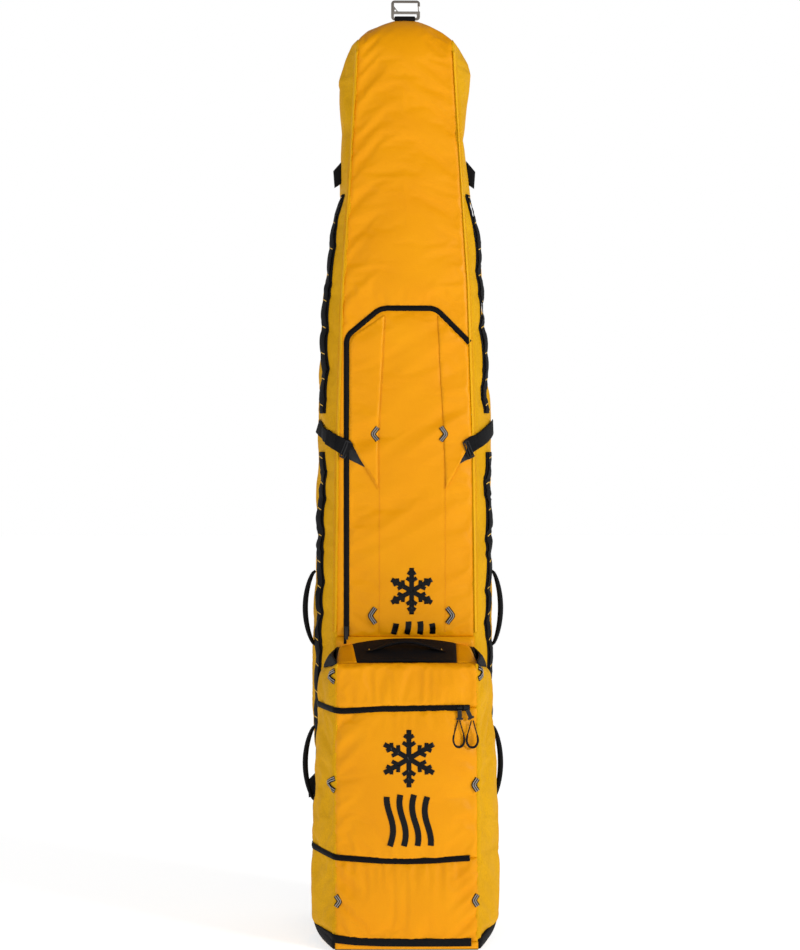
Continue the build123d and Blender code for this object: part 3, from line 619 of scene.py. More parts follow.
def main_front(x, v):
    x, v = floats(x, v)
    flat = v <= CROWN
    y = np.where(flat, front_y(x, np.minimum(v, CROWN)), 0)
    over_y, over_z, share = (lookup(OVER, v, column) for column in (1, 2, 3))
    crown = 0.007 * np.clip(1 - (x / 0.098) ** 2, 0, 1) ** 1.3 * np.clip(-over_y / 0.0595, 0, 1)
    y = np.where(flat, y, over_y - crown)
    z = np.where(flat, v, over_z - share * ridge_drop(x))
    return join(x, y, z)


SECTION_STEPS = 3
BACK_INSET = 0.022  # how far the back seam is inside the widest line


def side_surface(sign):
    """The side cloth: its coordinates are the share of the way from front to back seam, and the height."""
    wide = WIDE_RIGHT if sign > 0 else WIDE_LEFT

    def surface(t, z):
        t, z = np.broadcast_arrays(*floats(t, z))
        zz = np.clip(z, 0.0, SIDE_TOP)
        front, depth, broad = lookup(BODY, zz), lookup(BODY, zz, 2), lookup(wide, zz)
        depth = np.where(zz > 1.765, 0.0597, depth)
        across = (front, broad, broad, broad - BACK_INSET)
        back = (-depth, -0.012 + 0 * zz, 0.6 * depth, depth)
        keys = np.stack([np.stack(pair, -1) for pair in zip(across, back)])
        for _ in range(SECTION_STEPS):
            cut = [keys[0]]
            for i in range(len(keys) - 1):
                if i > 0:
                    cut.append(0.75 * keys[i] + 0.25 * keys[i + 1])
                if i < len(keys) - 2:
                    cut.append(0.25 * keys[i] + 0.75 * keys[i + 1])
            cut.append(keys[-1])
            keys = np.stack(cut)
        steps = np.linalg.norm(np.diff(keys, axis=0), axis=-1)
        length = np.concatenate([np.zeros((1, *steps.shape[1:])), np.cumsum(steps, axis=0)])
        want = np.clip(t, -0.02, 1.02) * length[-1]
        index = np.clip((length <= want).sum(0) - 1, 0, len(keys) - 2)
        low = np.take_along_axis(length, index[None], 0)[0]
        high = np.take_along_axis(length, index[None] + 1, 0)[0]
        share = (want - low) / np.maximum(high - low, 1e-9)
        pick = lambda k: np.take_along_axis(keys, np.broadcast_to(k[None, ..., None], (1, *k.shape, 2)), 0)[0]
        place = pick(index) * (1 - share[..., None]) + pick(index + 1) * share[..., None]
        return join(sign * place[..., 0], place[..., 1], z)

    return surface


SIDE = {1: side_surface(1), -1: side_surface(-1)}
SIDE_RUN = 0.235  # a side panel's length round its section


def turned(surface):
    """The same surface with its normals the other way."""
    return lambda a, b: surface(-a, b)


def flat_ring(ring):
    return [(-a, b) for a, b in ring]


def side_panel(name, sign, surface, ring, mat, body, **more):
    """A panel on a side. The ring's first coordinate is metres back from the front seam, on either side."""
    if sign < 0:
        surface, ring = turned(surface), flat_ring(ring)
        if more.get("relief"):
            relief = more["relief"]
            more["relief"] = lambda a, b: relief(-a, b)
    return panel(name, ring, surface, mat, body, **more)


# ---- the gear compartment's surfaces -----------------------------------------------------------------------
GEAR_WIDE = {
    1: [(0.0, 0.153), (0.008, 0.157), (0.045, 0.1755), (0.18, 0.1765), (0.368, 0.170), (0.483, 0.163),
        (0.527, 0.159), (0.545, 0.154), (0.560, 0.147), (0.572, 0.137)],
    -1: [(0.0, 0.156), (0.008, 0.160), (0.045, 0.1785), (0.18, 0.1795), (0.368, 0.174), (0.483, 0.168),
         (0.527, 0.163), (0.545, 0.157), (0.560, 0.149), (0.572, 0.138)],
}
GEAR_HALF, GEAR_Y = 0.138, -0.235
# metres back from the front seam to where a side turns in to the bag, and to the seam that holds it there
GEAR_TURN, GEAR_REAR = 0.143, 0.178
HOME_X, HOME_Y = 0.1385, -0.0862  # that seam's place
FLARE = 0.085  # how deep the slanting front part of a side is


def gear_bulge(x, z):
    across = np.clip(1 - (np.asarray(x) / GEAR_HALF) ** 2, 0, 1)
    tall = np.clip(1 - ((np.asarray(z) - 0.27) / 0.29) ** 4, 0, 1)
    return 0.0085 * across * tall


def gear_front(x, z):
    """The compartment's front. Above its top edge it rolls back over the top."""
    x, z = floats(x, z)
    edge, radius, turn = 0.540, 0.016, 1.28
    over = np.clip(z - edge, 0, None)
    angle = np.clip(over / radius, 0, turn)
    past = np.clip(over - turn * radius, 0, None)
    y = GEAR_Y - gear_bulge(x, np.minimum(z, edge)) + radius * (1 - np.cos(angle)) + past * 0.975
    height = np.minimum(z, edge) + radius * np.sin(angle) + past * 0.22
    height = height + 0.010 * hump(x, 0, 0.09) * smooth_step(0.56, 0.69, z)
    return join(x, y, height)


def gear_side(sign):
    """A side of the compartment: its first coordinate is metres back from the front seam."""

    def surface(a, z):
        a, z = np.broadcast_arrays(*floats(a, z))
        wide = lookup(GEAR_WIDE[sign], np.clip(z, 0, 0.572))
        slope = np.hypot(wide - GEAR_HALF, FLARE)
        share = np.clip(a / slope, -0.02, None)
        bend = smooth_step(0.0, 1.0, np.clip((a - slope + 0.02) / 0.04, 0, 1))
        x1, y1 = GEAR_HALF + (wide - GEAR_HALF) * share, GEAR_Y + FLARE * share
        x2, y2 = wide, GEAR_Y + FLARE + (a - slope)
        x, y = x1 * (1 - bend) + x2 * bend, y1 * (1 - bend) + y2 * bend
        x = x + 0.004 * np.sin(np.pi * np.clip(a / 0.15, 0, 1))
        home = np.clip((a - GEAR_TURN) / (GEAR_REAR - GEAR_TURN), 0, 1)
        y_turn = GEAR_Y + FLARE + (GEAR_TURN - slope)
        x = x + (HOME_X - x) * home
        y = np.where(home > 0, y_turn + (HOME_Y - y_turn) * home, y)
        return join(sign * x, y, z)

    return surface


GEAR_SIDE = {1: gear_side(1), -1: gear_side(-1)}


# ---- cords -------------------------------------------------------------------------------------------------
LOOP = [(-1.8, 0), (-5.4, 14), (-9.6, 28), (-11.4, 40), (-7, 49.5), (0, 52), (7, 49.5), (11.4, 40), (9.6, 28),
        (5.4, 14), (1.8, 0)]
CORD_D = 0.0024


def make_cord(letter, x):
    low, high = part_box(f"pull_cord_{letter}")
    y = (low.y + high.y) / 2
    top = high.z - 0.0003
    curve = bpy.data.curves.new(f"loop_cord_{letter}", "CURVE")
    curve.dimensions = "3D"
    spline = curve.splines.new("NURBS")
    spline.points.add(len(LOOP) - 1)
    for point, (u, v) in zip(spline.points, LOOP):
        point.co = (x + u * MM, y, top - v * MM, 1)
    spline.order_u = 3
    spline.use_endpoint_u = True
    curve.resolution_u = 12
    bare = show(f"bare_{letter}", curve.copy())
    line = bpy.data.meshes.new_from_object(bare)
    route = np.array([tuple(v.co) for v in line.vertices])
    bpy.data.objects.remove(bare)
    curve.bevel_depth = CORD_D / 2
    curve.bevel_resolution = 4
    curve.materials.append(CORD)
    cord = show(f"loop_cord_{letter}", curve)
    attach(cord, f"pull_{letter}")
    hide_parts(f"pull_cord_{letter}")
    low_part = route[route[:, 2] < top - 0.027]
    taper = np.sin(np.linspace(0, math.pi, len(low_part))) ** 0.25
    size = 0.0028 + 0.0018 * taper
    outs = np.tile([0.0, -1.0, 0.0], (len(low_part), 1))
    tube = [(0.5 * math.cos(i * math.pi / 6), 0.5 * math.sin(i * math.pi / 6)) for i in range(12)]
    verts, faces = sweep(low_part, outs, size, size, section=tube)
    sleeve = finish_mesh(f"cord_sleeve_{letter}", verts, faces, RUBBER, f"pull_{letter}", "plastic_black")


make_cord("a", 99.6 * MM)
make_cord("b", 125.6 * MM)


# ---- the main bag's cloth ----------------------------------------------------------------------------------
SEAM_L, SEAM_R = -0.055, 0.076
# centre line of the main zip
ZIP_LINE = rounded(
    [(-0.118, 0.5775), (-0.118, 1.192), (-0.050, 1.248), (0.060, 1.248), (0.1284, 1.180)], 0.015, 8
)
ZIP_HALF = 0.0055


def offset_line(line, gap):
    """A 2-D chain moved sideways, to its left."""
    line = np.array(line, float)
    run = np.gradient(line, axis=0)
    run /= np.linalg.norm(run, axis=1)[:, None]
    return [tuple(p) for p in line + gap * np.stack([-run[:, 1], run[:, 0]], -1)]


def front_folds(x, z):
    """Soft folds of the tall front cloth: they fall from its middle to both seams."""
    lean = np.where(x < 0, 1.25, 0.75)
    q = z + lean * np.sqrt(x**2 + 0.03**2)
    side = smooth_step(0.015, 0.085, np.abs(x))
    fine = FOLDS[0](q * 34, x * 7 + 3) * 0.0034
    wide = FOLDS[1](q * 13, x * 5) * 0.0030
    sharp = -np.abs(FOLDS[2](q * 21 + 5, x * 4)) * 0.0050
    fade = 0.45 + 0.55 * smooth_step(-0.3, 0.5, FOLDS[3](z * 5, x * 3 + 7))
    low = smooth_step(1.17, 1.30, z)
    return (side * (fine + sharp) + (0.4 + 0.6 * side) * wide) * fade * (0.5 + 0.5 * low)


def leg_folds(x, z):
    """Small puckers of the narrow strip beside the zip's leg, over the folds of the cloth."""
    strip = smooth_step(-0.112, -0.126, x) * smooth_step(1.2, 1.1, z)
    q = z + 0.8 * (x + 0.13)
    return front_folds(x, z) * (1 - strip) - strip * np.abs(FOLDS[4](q * 52, x * 9)) * 0.0020


FRONT_LOW = 0.592
CROWN_HALF = 0.0972


def make_front():
    left = lambda z: -float(lookup(BODY, z))
    ring = [(left(z), z) for z in np.arange(FRONT_LOW, 1.77, 0.02)]
    ring += [(-CROWN_HALF, v) for v in np.arange(1.77, 1.971, 0.02)]
    ring += [(CROWN_HALF, v) for v in np.arange(1.96, 1.77, -0.02)]
    ring += [(-left(z), z) for z in np.arange(1.765, 1.187, -0.02)]
    inner = [p for p in offset_line(ZIP_LINE, 0.001) if p[1] > FRONT_LOW]
    ring += [*inner[::-1], (inner[0][0], FRONT_LOW)]
    hood, _ = panel(
        "front_cloth", ring, main_front, ORANGE, "bag", relief=leg_folds, soft=(1.5, 0.012, 0.008)
    )
    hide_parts("front_hood", "crown")
    low_ring = [(-0.1385, 0.105), (0.1385, 0.105), (0.1385, 0.5917), (-0.1385, 0.5917)]
    low, _ = panel("front_low_cloth", low_ring, main_front, ORANGE, "bag", step=0.012, sink=0.0004)
    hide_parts("front_wall_lower")


def flap_seam(place, z):
    """The sewn lines of the flap lean out towards its top."""
    lean = 0.014 if place < 0 else -0.013
    return place + lean * np.clip((z - 1.0) / 0.25, 0, 1)


def flap_folds(x, z):
    """The flap's folds, and the dips along its two sewn lines."""
    q = z - 0.62 * x
    broad = FOLDS[5](q * 11 + 2, x * 6) * 0.0050
    mid = FOLDS[6](q * 27, x * 6 + 4) * 0.0032
    sharp = -np.abs(FOLDS[7](q * 19 + 1, x * 5)) * 0.0040
    fade = 0.35 + 0.65 * smooth_step(-0.25, 0.45, FOLDS[8](z * 7, x * 8 + 3))
    seams = sum(-0.0006 * hump(x, flap_seam(place, z), 0.0022) for place in (SEAM_L, SEAM_R))
    edge = smooth_step(0.0, 0.02, np.abs(x + 0.118))
    held = 0.0035 * hump(x, 0.124, 0.02) * hump(z, 0.968, 0.03)
    return (broad + mid + sharp) * fade * edge + seams - held


def make_flap():
    inner = [p for p in offset_line(ZIP_LINE, -0.001) if p[1] > FRONT_LOW]
    ring = [(inner[0][0], FRONT_LOW)] + inner
    edge = lambda z: float(lookup(BODY, z)) - 0.0009
    ring += [(edge(z), z) for z in np.arange(1.175, FRONT_LOW, -0.02)] + [(edge(FRONT_LOW), FRONT_LOW)]
    flap, top = panel(
        "flap_cloth", ring, main_front, ORANGE, "flap", step=0.0045, relief=flap_folds,
        soft=(2.0, 0.012, 0.007),
    )
    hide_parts("flap_panel")
    rows = []
    for place in (SEAM_L, SEAM_R):
        heights = np.arange(0.60, 1.235, 0.01)
        rows.append(stitches(top, [(flap_seam(place, z) + 0.003, z) for z in heights]))
    finish_mesh("flap_stitches", *merge(rows), TONAL, "flap", "orange_laminate")
    return top


def make_wings():
    """The overlays at the flap's sides, open at their slanting lower edges, and the gussets under them."""
    top = 1.236
    left = [(-0.112, 0.987), (SEAM_L, 0.887), (SEAM_L, 1.0), (flap_seam(SEAM_L, top), top - 0.002),
            (-0.1045, 1.193), (-0.1115, 1.178)]
    right = [(0.132, 0.986), (0.1255, 1.172), (0.0635, 1.2325), (SEAM_R - 0.006, 1.10), (SEAM_R, 1.0),
             (SEAM_R + 0.004, 0.887)]
    over = lambda gap: lambda x, z: FLAP_TOP(x, z) + normals_of(FLAP_TOP, x, z) * np.reshape(gap, (-1, 1))

    def open_edge(x, z, line):
        """How far a wing stands off along its open edge, most at the outer end where the strap goes in."""
        away = segment_distance(np.stack([x, z], -1), line)
        outward = np.clip((np.abs(x) - 0.06) / 0.05, 0, 1)
        return 0.0034 * np.exp(-away / 0.014) * outward

    for name, ring, mouth in (("wing_left", left, left[:2]), ("wing_right", right, [right[0], right[-1]])):
        shape = lambda x, z, line=mouth: over(0.0019 + open_edge(x, z, line))(x, z)
        panel(name, ring, shape, ORANGE, "flap", thick=0.0012, sink=0.0004)[0]
    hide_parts("flap_wings")
    gussets = {
        "left": [(-0.1275, 0.953), (-0.110, 0.945), (-0.082, 0.931), (-0.078, 0.940), (-0.109, 0.997),
                 (-0.1185, 0.985)],
        "right": [(0.1335, 0.949), (0.118, 0.943), (0.098, 0.932), (0.094, 0.942), (0.119, 0.992),
                  (0.1335, 0.984)],
    }
    for side, ring in gussets.items():
        shape = over(0.0009)
        gusset, _ = panel(f"gusset_{side}", ring, shape, MESH, "flap", 0.004, thick=0.0008, sink=0.0002)
    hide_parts("strap_gussets")
    lifted = over(0.0021)
    lines = (left[:2], [right[-1], right[0]])
    edges = [stitches(lifted, offset_line(resample(line, 0.01), 0.003)) for line in lines]
    finish_mesh("wing_stitches", *merge(edges), TONAL, "flap", "orange_laminate")


def side_folds(sign):
    def relief(a, z):
        share = a / SIDE_RUN
        broad = FOLDS[9](z * 7 + sign * 3, share * 3) * 0.0035
        mid = FOLDS[10](z * 17, share * 4 + sign) * 0.0018
        ridge = -0.0010 * hump(a, 0.017, 0.0014) - 0.0008 * hump(a, 0.022, 0.0012)
        return broad + mid + ridge

    return relief


def crown_line(sign):
    """The side cloth's upper edge along the crown's, by metres round the section and height."""
    made = []
    steps = np.linspace(0, 1, 120)
    for v in np.arange(1.766, 1.9741, 0.008):
        _, y, z = main_front(CROWN_HALF, v)
        section = SIDE[sign](steps, z)
        made.append((float(np.interp(y, section[:, 1], steps)) * SIDE_RUN, float(z)))
    return made


def make_sides():
    for sign, name in ((1, "right"), (-1, "left")):
        ring = [(0.0, z) for z in np.arange(0.102, CROWN, 0.02)] + crown_line(sign)
        ring += [(SIDE_RUN, z) for z in np.arange(1.76, 0.102, -0.02)[1:]] + [(SIDE_RUN, 0.102)]
        surface = lambda a, b, side=SIDE[sign]: side(a / SIDE_RUN, b)
        cloth, SIDE_CLOTH[sign] = side_panel(
            f"side_cloth_{name}", sign, surface, ring, YELLOW, "bag", step=0.006, relief=side_folds(sign),
            soft=(1.5, 0.010, 0.006),
        )
        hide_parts(f"side_panel_{name}")
        rows = []
        for a in (0.008, 0.0125):
            line = [(a, z) for z in np.arange(0.60, 1.775, 0.02)]
            if sign < 0:
                line = flat_ring(line)
            rows.append(stitches(SIDE_CLOTH[sign], line, pitch=0.005, length=0.0034))
        finish_mesh(f"side_stitches_{name}", *merge(rows), TONAL, "bag", "yellow_ballistic")
        z = np.arange(0.60, 1.775, 0.006)
        at = 0.004 / SIDE_RUN + 0 * z
        edge, outs = SIDE[sign](at, z), normals_of(SIDE[sign], at, z) * sign
        piping = sweep(edge, outs, 0.0085, 0.0014, -0.0006)
        finish_mesh(f"side_piping_{name}", *piping, PIPING, "bag", "yellow_ballistic")


SIDE_CLOTH = {}


def make_back():
    def surface(x, z):
        x, z = floats(x, z)
        depth = lookup(BODY, z, 2)
        half = 0.5 * (lookup(WIDE_LEFT, z) + lookup(WIDE_RIGHT, z)) - BACK_INSET
        return join(-x, depth + 0.002 * np.clip(1 - (x / half) ** 2, 0, 1), z)

    edge = lambda z, table: float(lookup(table, z)) - BACK_INSET - 0.0005
    heights = np.append(np.arange(0.105, 1.76, 0.02), 1.7755)
    ring = [(-edge(z, WIDE_RIGHT), z) for z in heights] + [(edge(z, WIDE_LEFT), z) for z in heights[::-1]]
    relief = lambda x, z: FOLDS[11](z * 8, x * 9) * 0.0018
    soft = (1.5, 0.008, 0.006)
    back, _ = panel("back_cloth", ring, surface, BLACK, "bag", 0.009, sink=0.002, relief=relief, soft=soft)
    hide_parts("back_panel")


make_front()
FLAP_TOP = make_flap()
make_wings()
make_sides()
make_back()


# ---- zips --------------------------------------------------------------------------------------------------
# half of a closed zip: tape, then the coil's edge by the meeting line at 0
HALF_ZIP = [(0.0, 0.0), (0.0, 1.0), (0.22, 1.0), (0.30, 0.62), (0.92, 0.55), (1.0, 0.30), (1.0, 0.0)]
ZIP_THICK = 0.0018


def half_section(side):
    """The half zip's outline on one side of the meeting line."""
    section = [(side * across, out) for across, out in HALF_ZIP]
    return section if side > 0 else section[::-1]


def zip_half(surface, line, side, lift=-0.0008, step=0.005):
    return lay(surface, line, ZIP_HALF, ZIP_THICK, lift, step, half_section(side))


def make_main_zip():
    fixed = zip_half(main_front, ZIP_LINE, -1)
    outer = finish_mesh("zip_fixed", *fixed, ZIP, "bag")
    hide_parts("bag_zip_tape")
    upper = [p for p in ZIP_LINE if p[1] > FRONT_LOW]
    upper = [(upper[0][0], 0.5925)] + upper
    moving = zip_half(main_front, upper, 1)
    inner = finish_mesh("zip_moving", *moving, ZIP, "flap")
    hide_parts("flap_zip_tape")
    end = lay(main_front, [(-0.1207, 0.5775), (-0.1207, FRONT_LOW)], ZIP_HALF, 0.0010)
    finish_mesh("zip_foot", *end, ZIP, "bag")


make_main_zip()


# ---- the gear compartment's cloth --------------------------------------------------------------------------
# the zips' lines across the front, as place across and height
UPPER_ZIP = [
    (-0.14, 0.4635), (-0.125, 0.462), (-0.09, 0.464), (-0.05, 0.4665), (0.0, 0.4672), (0.07, 0.468),
    (0.14, 0.468),
]
LOWER_ZIP = [
    (-0.14, 0.181), (-0.1, 0.1785), (-0.05, 0.1755), (0.0, 0.1745), (0.05, 0.1755), (0.1, 0.1785),
    (0.14, 0.1795),
]
BOTTOM_ZIP = [(-0.14, 0.0245), (-0.1, 0.0205), (-0.05, 0.0185), (0.0, 0.018), (0.14, 0.0175)]
ZIP_END = 0.121
GEAR_ZIP_LIFT = 0.0006


def puckers(x, z, line, below, reach, seed, size):
    """Gathers that hang below, or stand above, a sewn zip."""
    down = (line - z) if below else (z - line)
    fade = np.exp(-np.clip(down, 0, None) / reach) * (down > -0.002)
    wave = FOLDS[seed](x * 46 + 9, z * 6) + 0.6 * FOLDS[seed + 1](x * 90, z * 9 + 5)
    return size * wave * fade


def door_folds(x, z):
    hang = puckers(x, z, lookup(UPPER_ZIP, x), True, 0.045, 0, 0.0020)
    rise = puckers(x, z, lookup(LOWER_ZIP, x), False, 0.03, 2, 0.0018)
    q = z + 0.9 * np.abs(x)
    corner = FOLDS[4](q * 30, x * 6) * 0.0058 * smooth_step(0.06, 0.13, np.abs(x))
    broad = FOLDS[5](x * 9 + 2, z * 8) * 0.0035
    return hang + rise + corner + broad


def top_folds(x, z):
    hang = puckers(x, z, lookup(UPPER_ZIP, x), False, 0.04, 6, 0.0016)
    broad = FOLDS[8](x * 11, z * 9 + 4) * 0.0035 * smooth_step(0.60, 0.5, z)
    return hang + broad


def low_folds(x, z):
    hang = puckers(x, z, lookup(LOWER_ZIP, x), True, 0.035, 3, 0.0042)
    q = z - 0.8 * np.abs(x)
    corner = FOLDS[7](q * 36, x * 7) * 0.0075 * smooth_step(0.06, 0.13, np.abs(x))
    broad = FOLDS[9](x * 9 + 5, z * 10) * 0.0040
    return hang + corner + broad


def zip_run(table, low, high, gap=0.0):
    """A zip's line along the compartment's front between two places across."""
    return [(x, float(lookup(table, x)) + gap) for x in (*np.arange(low, high, 0.012), high)]


def make_gear_cloth():
    def orange(name, ring, body, node, fine=0.0045, **more):
        made, top = panel(name, ring, gear_front, ORANGE, body, step=fine, **more)
        if node:
            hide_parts(node)
        return top

    half = GEAR_HALF - 0.0005
    upper = zip_run(UPPER_ZIP, -half, half, 0.0004) + [(half, GEAR_LIP), (-half, GEAR_LIP)]
    orange("gear_front_upper", upper, "bag", None, relief=top_folds, soft=(3.0, 0.02, 0.007))
    foot = [(-half, FOOT_Z), (half, FOOT_Z)] + zip_run(BOTTOM_ZIP, -half, half, -0.0003)[::-1]
    orange("gear_front_foot", foot, "bag", None, 0.005, sink=0.001)
    low = zip_run(BOTTOM_ZIP, -half, half) + zip_run(LOWER_ZIP, -half, half, -0.0004)[::-1]
    orange("gear_front_lower", low, "bag", "gear_front_panels", relief=low_folds, soft=(3.5, 0.025, 0.009))
    door = zip_run(LOWER_ZIP, -half, half - 0.0006) + zip_run(UPPER_ZIP, -half, half - 0.0006)[::-1]
    soft = (3.0, 0.018, 0.009)
    tops = {"door": orange("door_cloth", door, "door", "door_front", relief=door_folds, soft=soft)}

    sag = lambda a, z: FOLDS[10](a * 22, z * 13) * 0.0028 + FOLDS[11](a * 30 + z * 22, z * 9) * 0.0016
    seam, rear = SHOULDER[0][0], 0.124
    high, low = UPPER_ZIP[0][1], LOWER_ZIP[0][1]
    far_high, far_low = high + REAR_RISE_HIGH, low + REAR_RISE_LOW
    heel = (GEAR_REAR, FOOT_Z)
    gap, edge = 0.0004, rear + 0.0012
    whole = [(seam, z) for z in np.arange(FOOT_Z, SHOULDER[0][1], 0.012)] + SHOULDER + [heel]
    round_door = [(seam, FOOT_Z), (seam, low - gap), (edge, far_low - gap)]
    round_door += [(edge, far_high + gap), (seam, high + gap)] + SHOULDER + [heel]
    door_ring = [(seam, low), (seam, high), (rear, far_high), (rear, far_low)]
    for name, sign, ring, body, cap in (
        ("gear_side_right", 1, whole, "bag", 0.007),
        ("gear_side_left", -1, round_door, "bag", 0.006),
        ("door_side", -1, door_ring, "door", 0.006),
    ):
        soft = (2.5, 0.015, cap)
        made, tops[name] = side_panel(name, sign, GEAR_SIDE[sign], ring, YELLOW, body, relief=sag, soft=soft)
        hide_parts(name)
    return tops


GEAR_LIP, FOOT_Z = 0.5605, 0.0042
# how much higher the door's zips are at the back of the side than at the front seam
REAR_RISE_HIGH, REAR_RISE_LOW = 0.004, 0.009
# where the yellow sides stop under the black shoulders: metres back from the front seam, and height
SHOULDER = [(0.0003, 0.552), (0.030, 0.545), (0.085, 0.538), (0.143, 0.536), (0.178, 0.534)]


def gear_top(x, y):
    """The compartment's top, from its rolled front edge to the bag, falling to both shoulders."""
    x, y = floats(x, y)
    share = np.clip((y + 0.2155) / 0.1295, -0.1, 1.05)
    rise = 0.5545 + 0.0355 * smooth_step(-0.25, 1.05, share)
    fall = 0.019 * (np.abs(x) / GEAR_HALF) ** 2 * (0.25 + 0.75 * share)
    return join(x, y, rise - fall)


def make_gear_top():
    y0, y1 = -0.2165, -0.0865
    half = 0.1372
    pieces = {
        "gear_top_middle": ([(-0.096, y0), (0.097, y0), (0.101, y1), (-0.107, y1)], BLACK),
        "gear_top_strip_left": ([(-half, y0), (-0.0963, y0), (-0.1073, y1), (-0.131, y1)], ORANGE),
        "gear_top_strip_right": ([(0.0973, y0), (half, y0), (0.127, y1), (0.1013, y1)], ORANGE),
        "gear_top_corner_left": ([(-half, y0), (-0.1313, y1), (-half, y1)], BLACK),
        "gear_top_corner_right": ([(half, y0), (half, y1), (0.1273, y1)], BLACK),
    }
    for name, (ring, mat) in pieces.items():
        piece, _ = panel(name, ring, gear_top, mat, "bag", thick=0.003, sink=0.0015, roll=0.004)
        if name == "gear_top_middle":
            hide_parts("gear_top_panel")
    # shoulders: from the top's rim down over the sides, and the feet at the bottom corners
    for sign, name in ((1, "right"), (-1, "left")):
        ring = SHOULDER[::-1] + [(0.0003, 0.557), (0.010, 0.560)]
        ring += [(0.060, 0.5665), (0.143, 0.5715), (0.178, 0.5715)]
        side = GEAR_SIDE[sign]
        side_panel(f"gear_shoulder_{name}", sign, side, ring, BLACK, "bag", thick=0.003, sink=0.001)
        ring = [(0.0, 0.0045), (0.0, 0.022), (0.040, 0.030), (0.143, 0.040), (0.172, 0.042), (0.172, 0.0045)]
        over = lambda a, z, side=side: side(a, z) + sign * np.array([0.0052, 0, 0])
        shape = over if sign > 0 else turned(over)
        outline = ring if sign > 0 else flat_ring(ring)
        panel(f"gear_foot_{name}", outline, shape, BLACK, "bag", thick=0.006, sink=0.002)
    low = lambda x, y: join(-x, y, 0.0032)
    half_ring = [(0.137, -0.2335), (0.155, -0.150), (0.155, -0.0875)]
    ring = [(-0.137, -0.2335), *half_ring, (-0.155, -0.0875), (-0.155, -0.150)]
    bottom, _ = panel("gear_floor", ring, low, BLACK, "bag", step=0.008, thick=0.003, sink=-0.001)
    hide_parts("gear_bottom")


def wrap(table, far, back, end=ZIP_END):
    """A zip's line round the left side and along the front, as points and outward directions. far is how much
    higher it is at the back of the side."""
    z0 = table[0][1]
    a = np.array([p[0] for p in resample([(back, 0), (0.004, 0)], 0.006)])
    z = z0 + far * a / back
    p1, n1 = GEAR_SIDE[-1](a, z), -normals_of(GEAR_SIDE[-1], a, z)
    line = np.array(resample(zip_run(table, -0.1345, end), 0.006))
    p2, n2 = gear_front(line[:, 0], line[:, 1]), normals_of(gear_front, line[:, 0], line[:, 1])
    return np.vstack([p1, p2]), np.vstack([n1, n2])


def make_gear_zips():
    def half_band(table, far, back, side, gap=0.0):
        points, outs = wrap(table, far, back)
        points = points + np.array([0, 0, gap])
        return sweep(points, outs, ZIP_HALF, ZIP_THICK, GEAR_ZIP_LIFT, half_section(side))

    rear, far_high, far_low = 0.1246, REAR_RISE_HIGH, REAR_RISE_LOW
    low, high = LOWER_ZIP[0][1] + far_low, UPPER_ZIP[0][1] + far_high

    def leg(side):
        place = -rear - 0.0006 * side
        return zip_half(turned(GEAR_SIDE[-1]), [(place, low), (place, high)], side, GEAR_ZIP_LIFT, 0.01)

    outer, inner = rear + ZIP_HALF, rear - 0.001
    fixed = [half_band(UPPER_ZIP, far_high, outer, -1), half_band(LOWER_ZIP, far_low, outer, 1), leg(-1)]
    tape = finish_mesh("gear_zip_fixed", *merge(fixed), ZIP, "bag")
    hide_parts("gear_zip_tape")
    moving = [half_band(UPPER_ZIP, far_high, inner, 1, -0.0003)]
    moving += [half_band(LOWER_ZIP, far_low, inner, -1, 0.0003), leg(1)]
    tape = finish_mesh("gear_zip_moving", *merge(moving), ZIP, "door")
    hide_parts("door_zip_tape")
    points, outs = wrap(BOTTOM_ZIP, 0.006, 0.14, ZIP_END + 0.003)
    finish_mesh("gear_bottom_band", *sweep(points, outs, 0.0156, 0.0026, GEAR_ZIP_LIFT), ZIP, "bag")


GEAR_CLOTH = make_gear_cloth()
make_gear_top()
make_gear_zips()


# ---- lash loops --------------------------------------------------------------------------------------------
def lash_loop(name, surface, x, z, reach, arm, body):
    """Reflective tape folded to a point, with dark edges. reach is how far its point is from the seam."""
    line = rounded([(x, z + arm), (x + reach, z), (x, z - arm)], 0.003, 3)
    rim = lay(surface, line, 0.0098, 0.0014, 0.0012, 0.003)
    finish_mesh(f"{name}_rim", *rim, WEBBING, body)
    sides = [offset_line(line, side * 0.0019) for side in (-1, 1)]
    stripes = [lay(surface, edge, 0.0019, 0.0006, 0.0024, 0.003) for edge in sides]
    return finish_mesh(name, *merge(stripes), REFLECT, body)


def make_lash_loops():
    left, right, flap = GEAR_CLOTH["gear_side_left"], GEAR_CLOTH["gear_side_right"], FLAP_TOP
    # name, surface, place across, height, how far the point reaches, half its spread, body
    rows = [
        ("lash_flap_upper_left", flap, -0.0555, 0.997, -0.0105, 0.0135, "flap"),
        ("lash_flap_upper_right", flap, 0.0695, 0.997, 0.0105, 0.0135, "flap"),
        ("lash_flap_lower_left", flap, -0.0600, 0.635, -0.0105, 0.0155, "flap"),
        ("lash_flap_lower_right", flap, 0.0825, 0.635, 0.0115, 0.0155, "flap"),
        ("lash_box_upper_left", left, -0.003, 0.528, -0.026, 0.011, "bag"),
        ("lash_box_upper_right", right, 0.003, 0.534, 0.024, 0.011, "bag"),
        ("lash_box_lower_left", gear_front, -0.1360, 0.097, 0.008, 0.011, "bag"),
        ("lash_box_lower_right", gear_front, 0.1360, 0.098, -0.007, 0.011, "bag"),
        ("lash_door_left", GEAR_CLOTH["door_side"], -0.002, 0.320, -0.028, 0.012, "door"),
        ("lash_door_right", gear_front, 0.1360, 0.320, -0.008, 0.012, "door"),
    ]
    loops = {row[0]: lash_loop(*row) for row in rows}
    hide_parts("flap_loops")
    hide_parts("gear_loops")
    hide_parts("door_loops")


make_lash_loops()


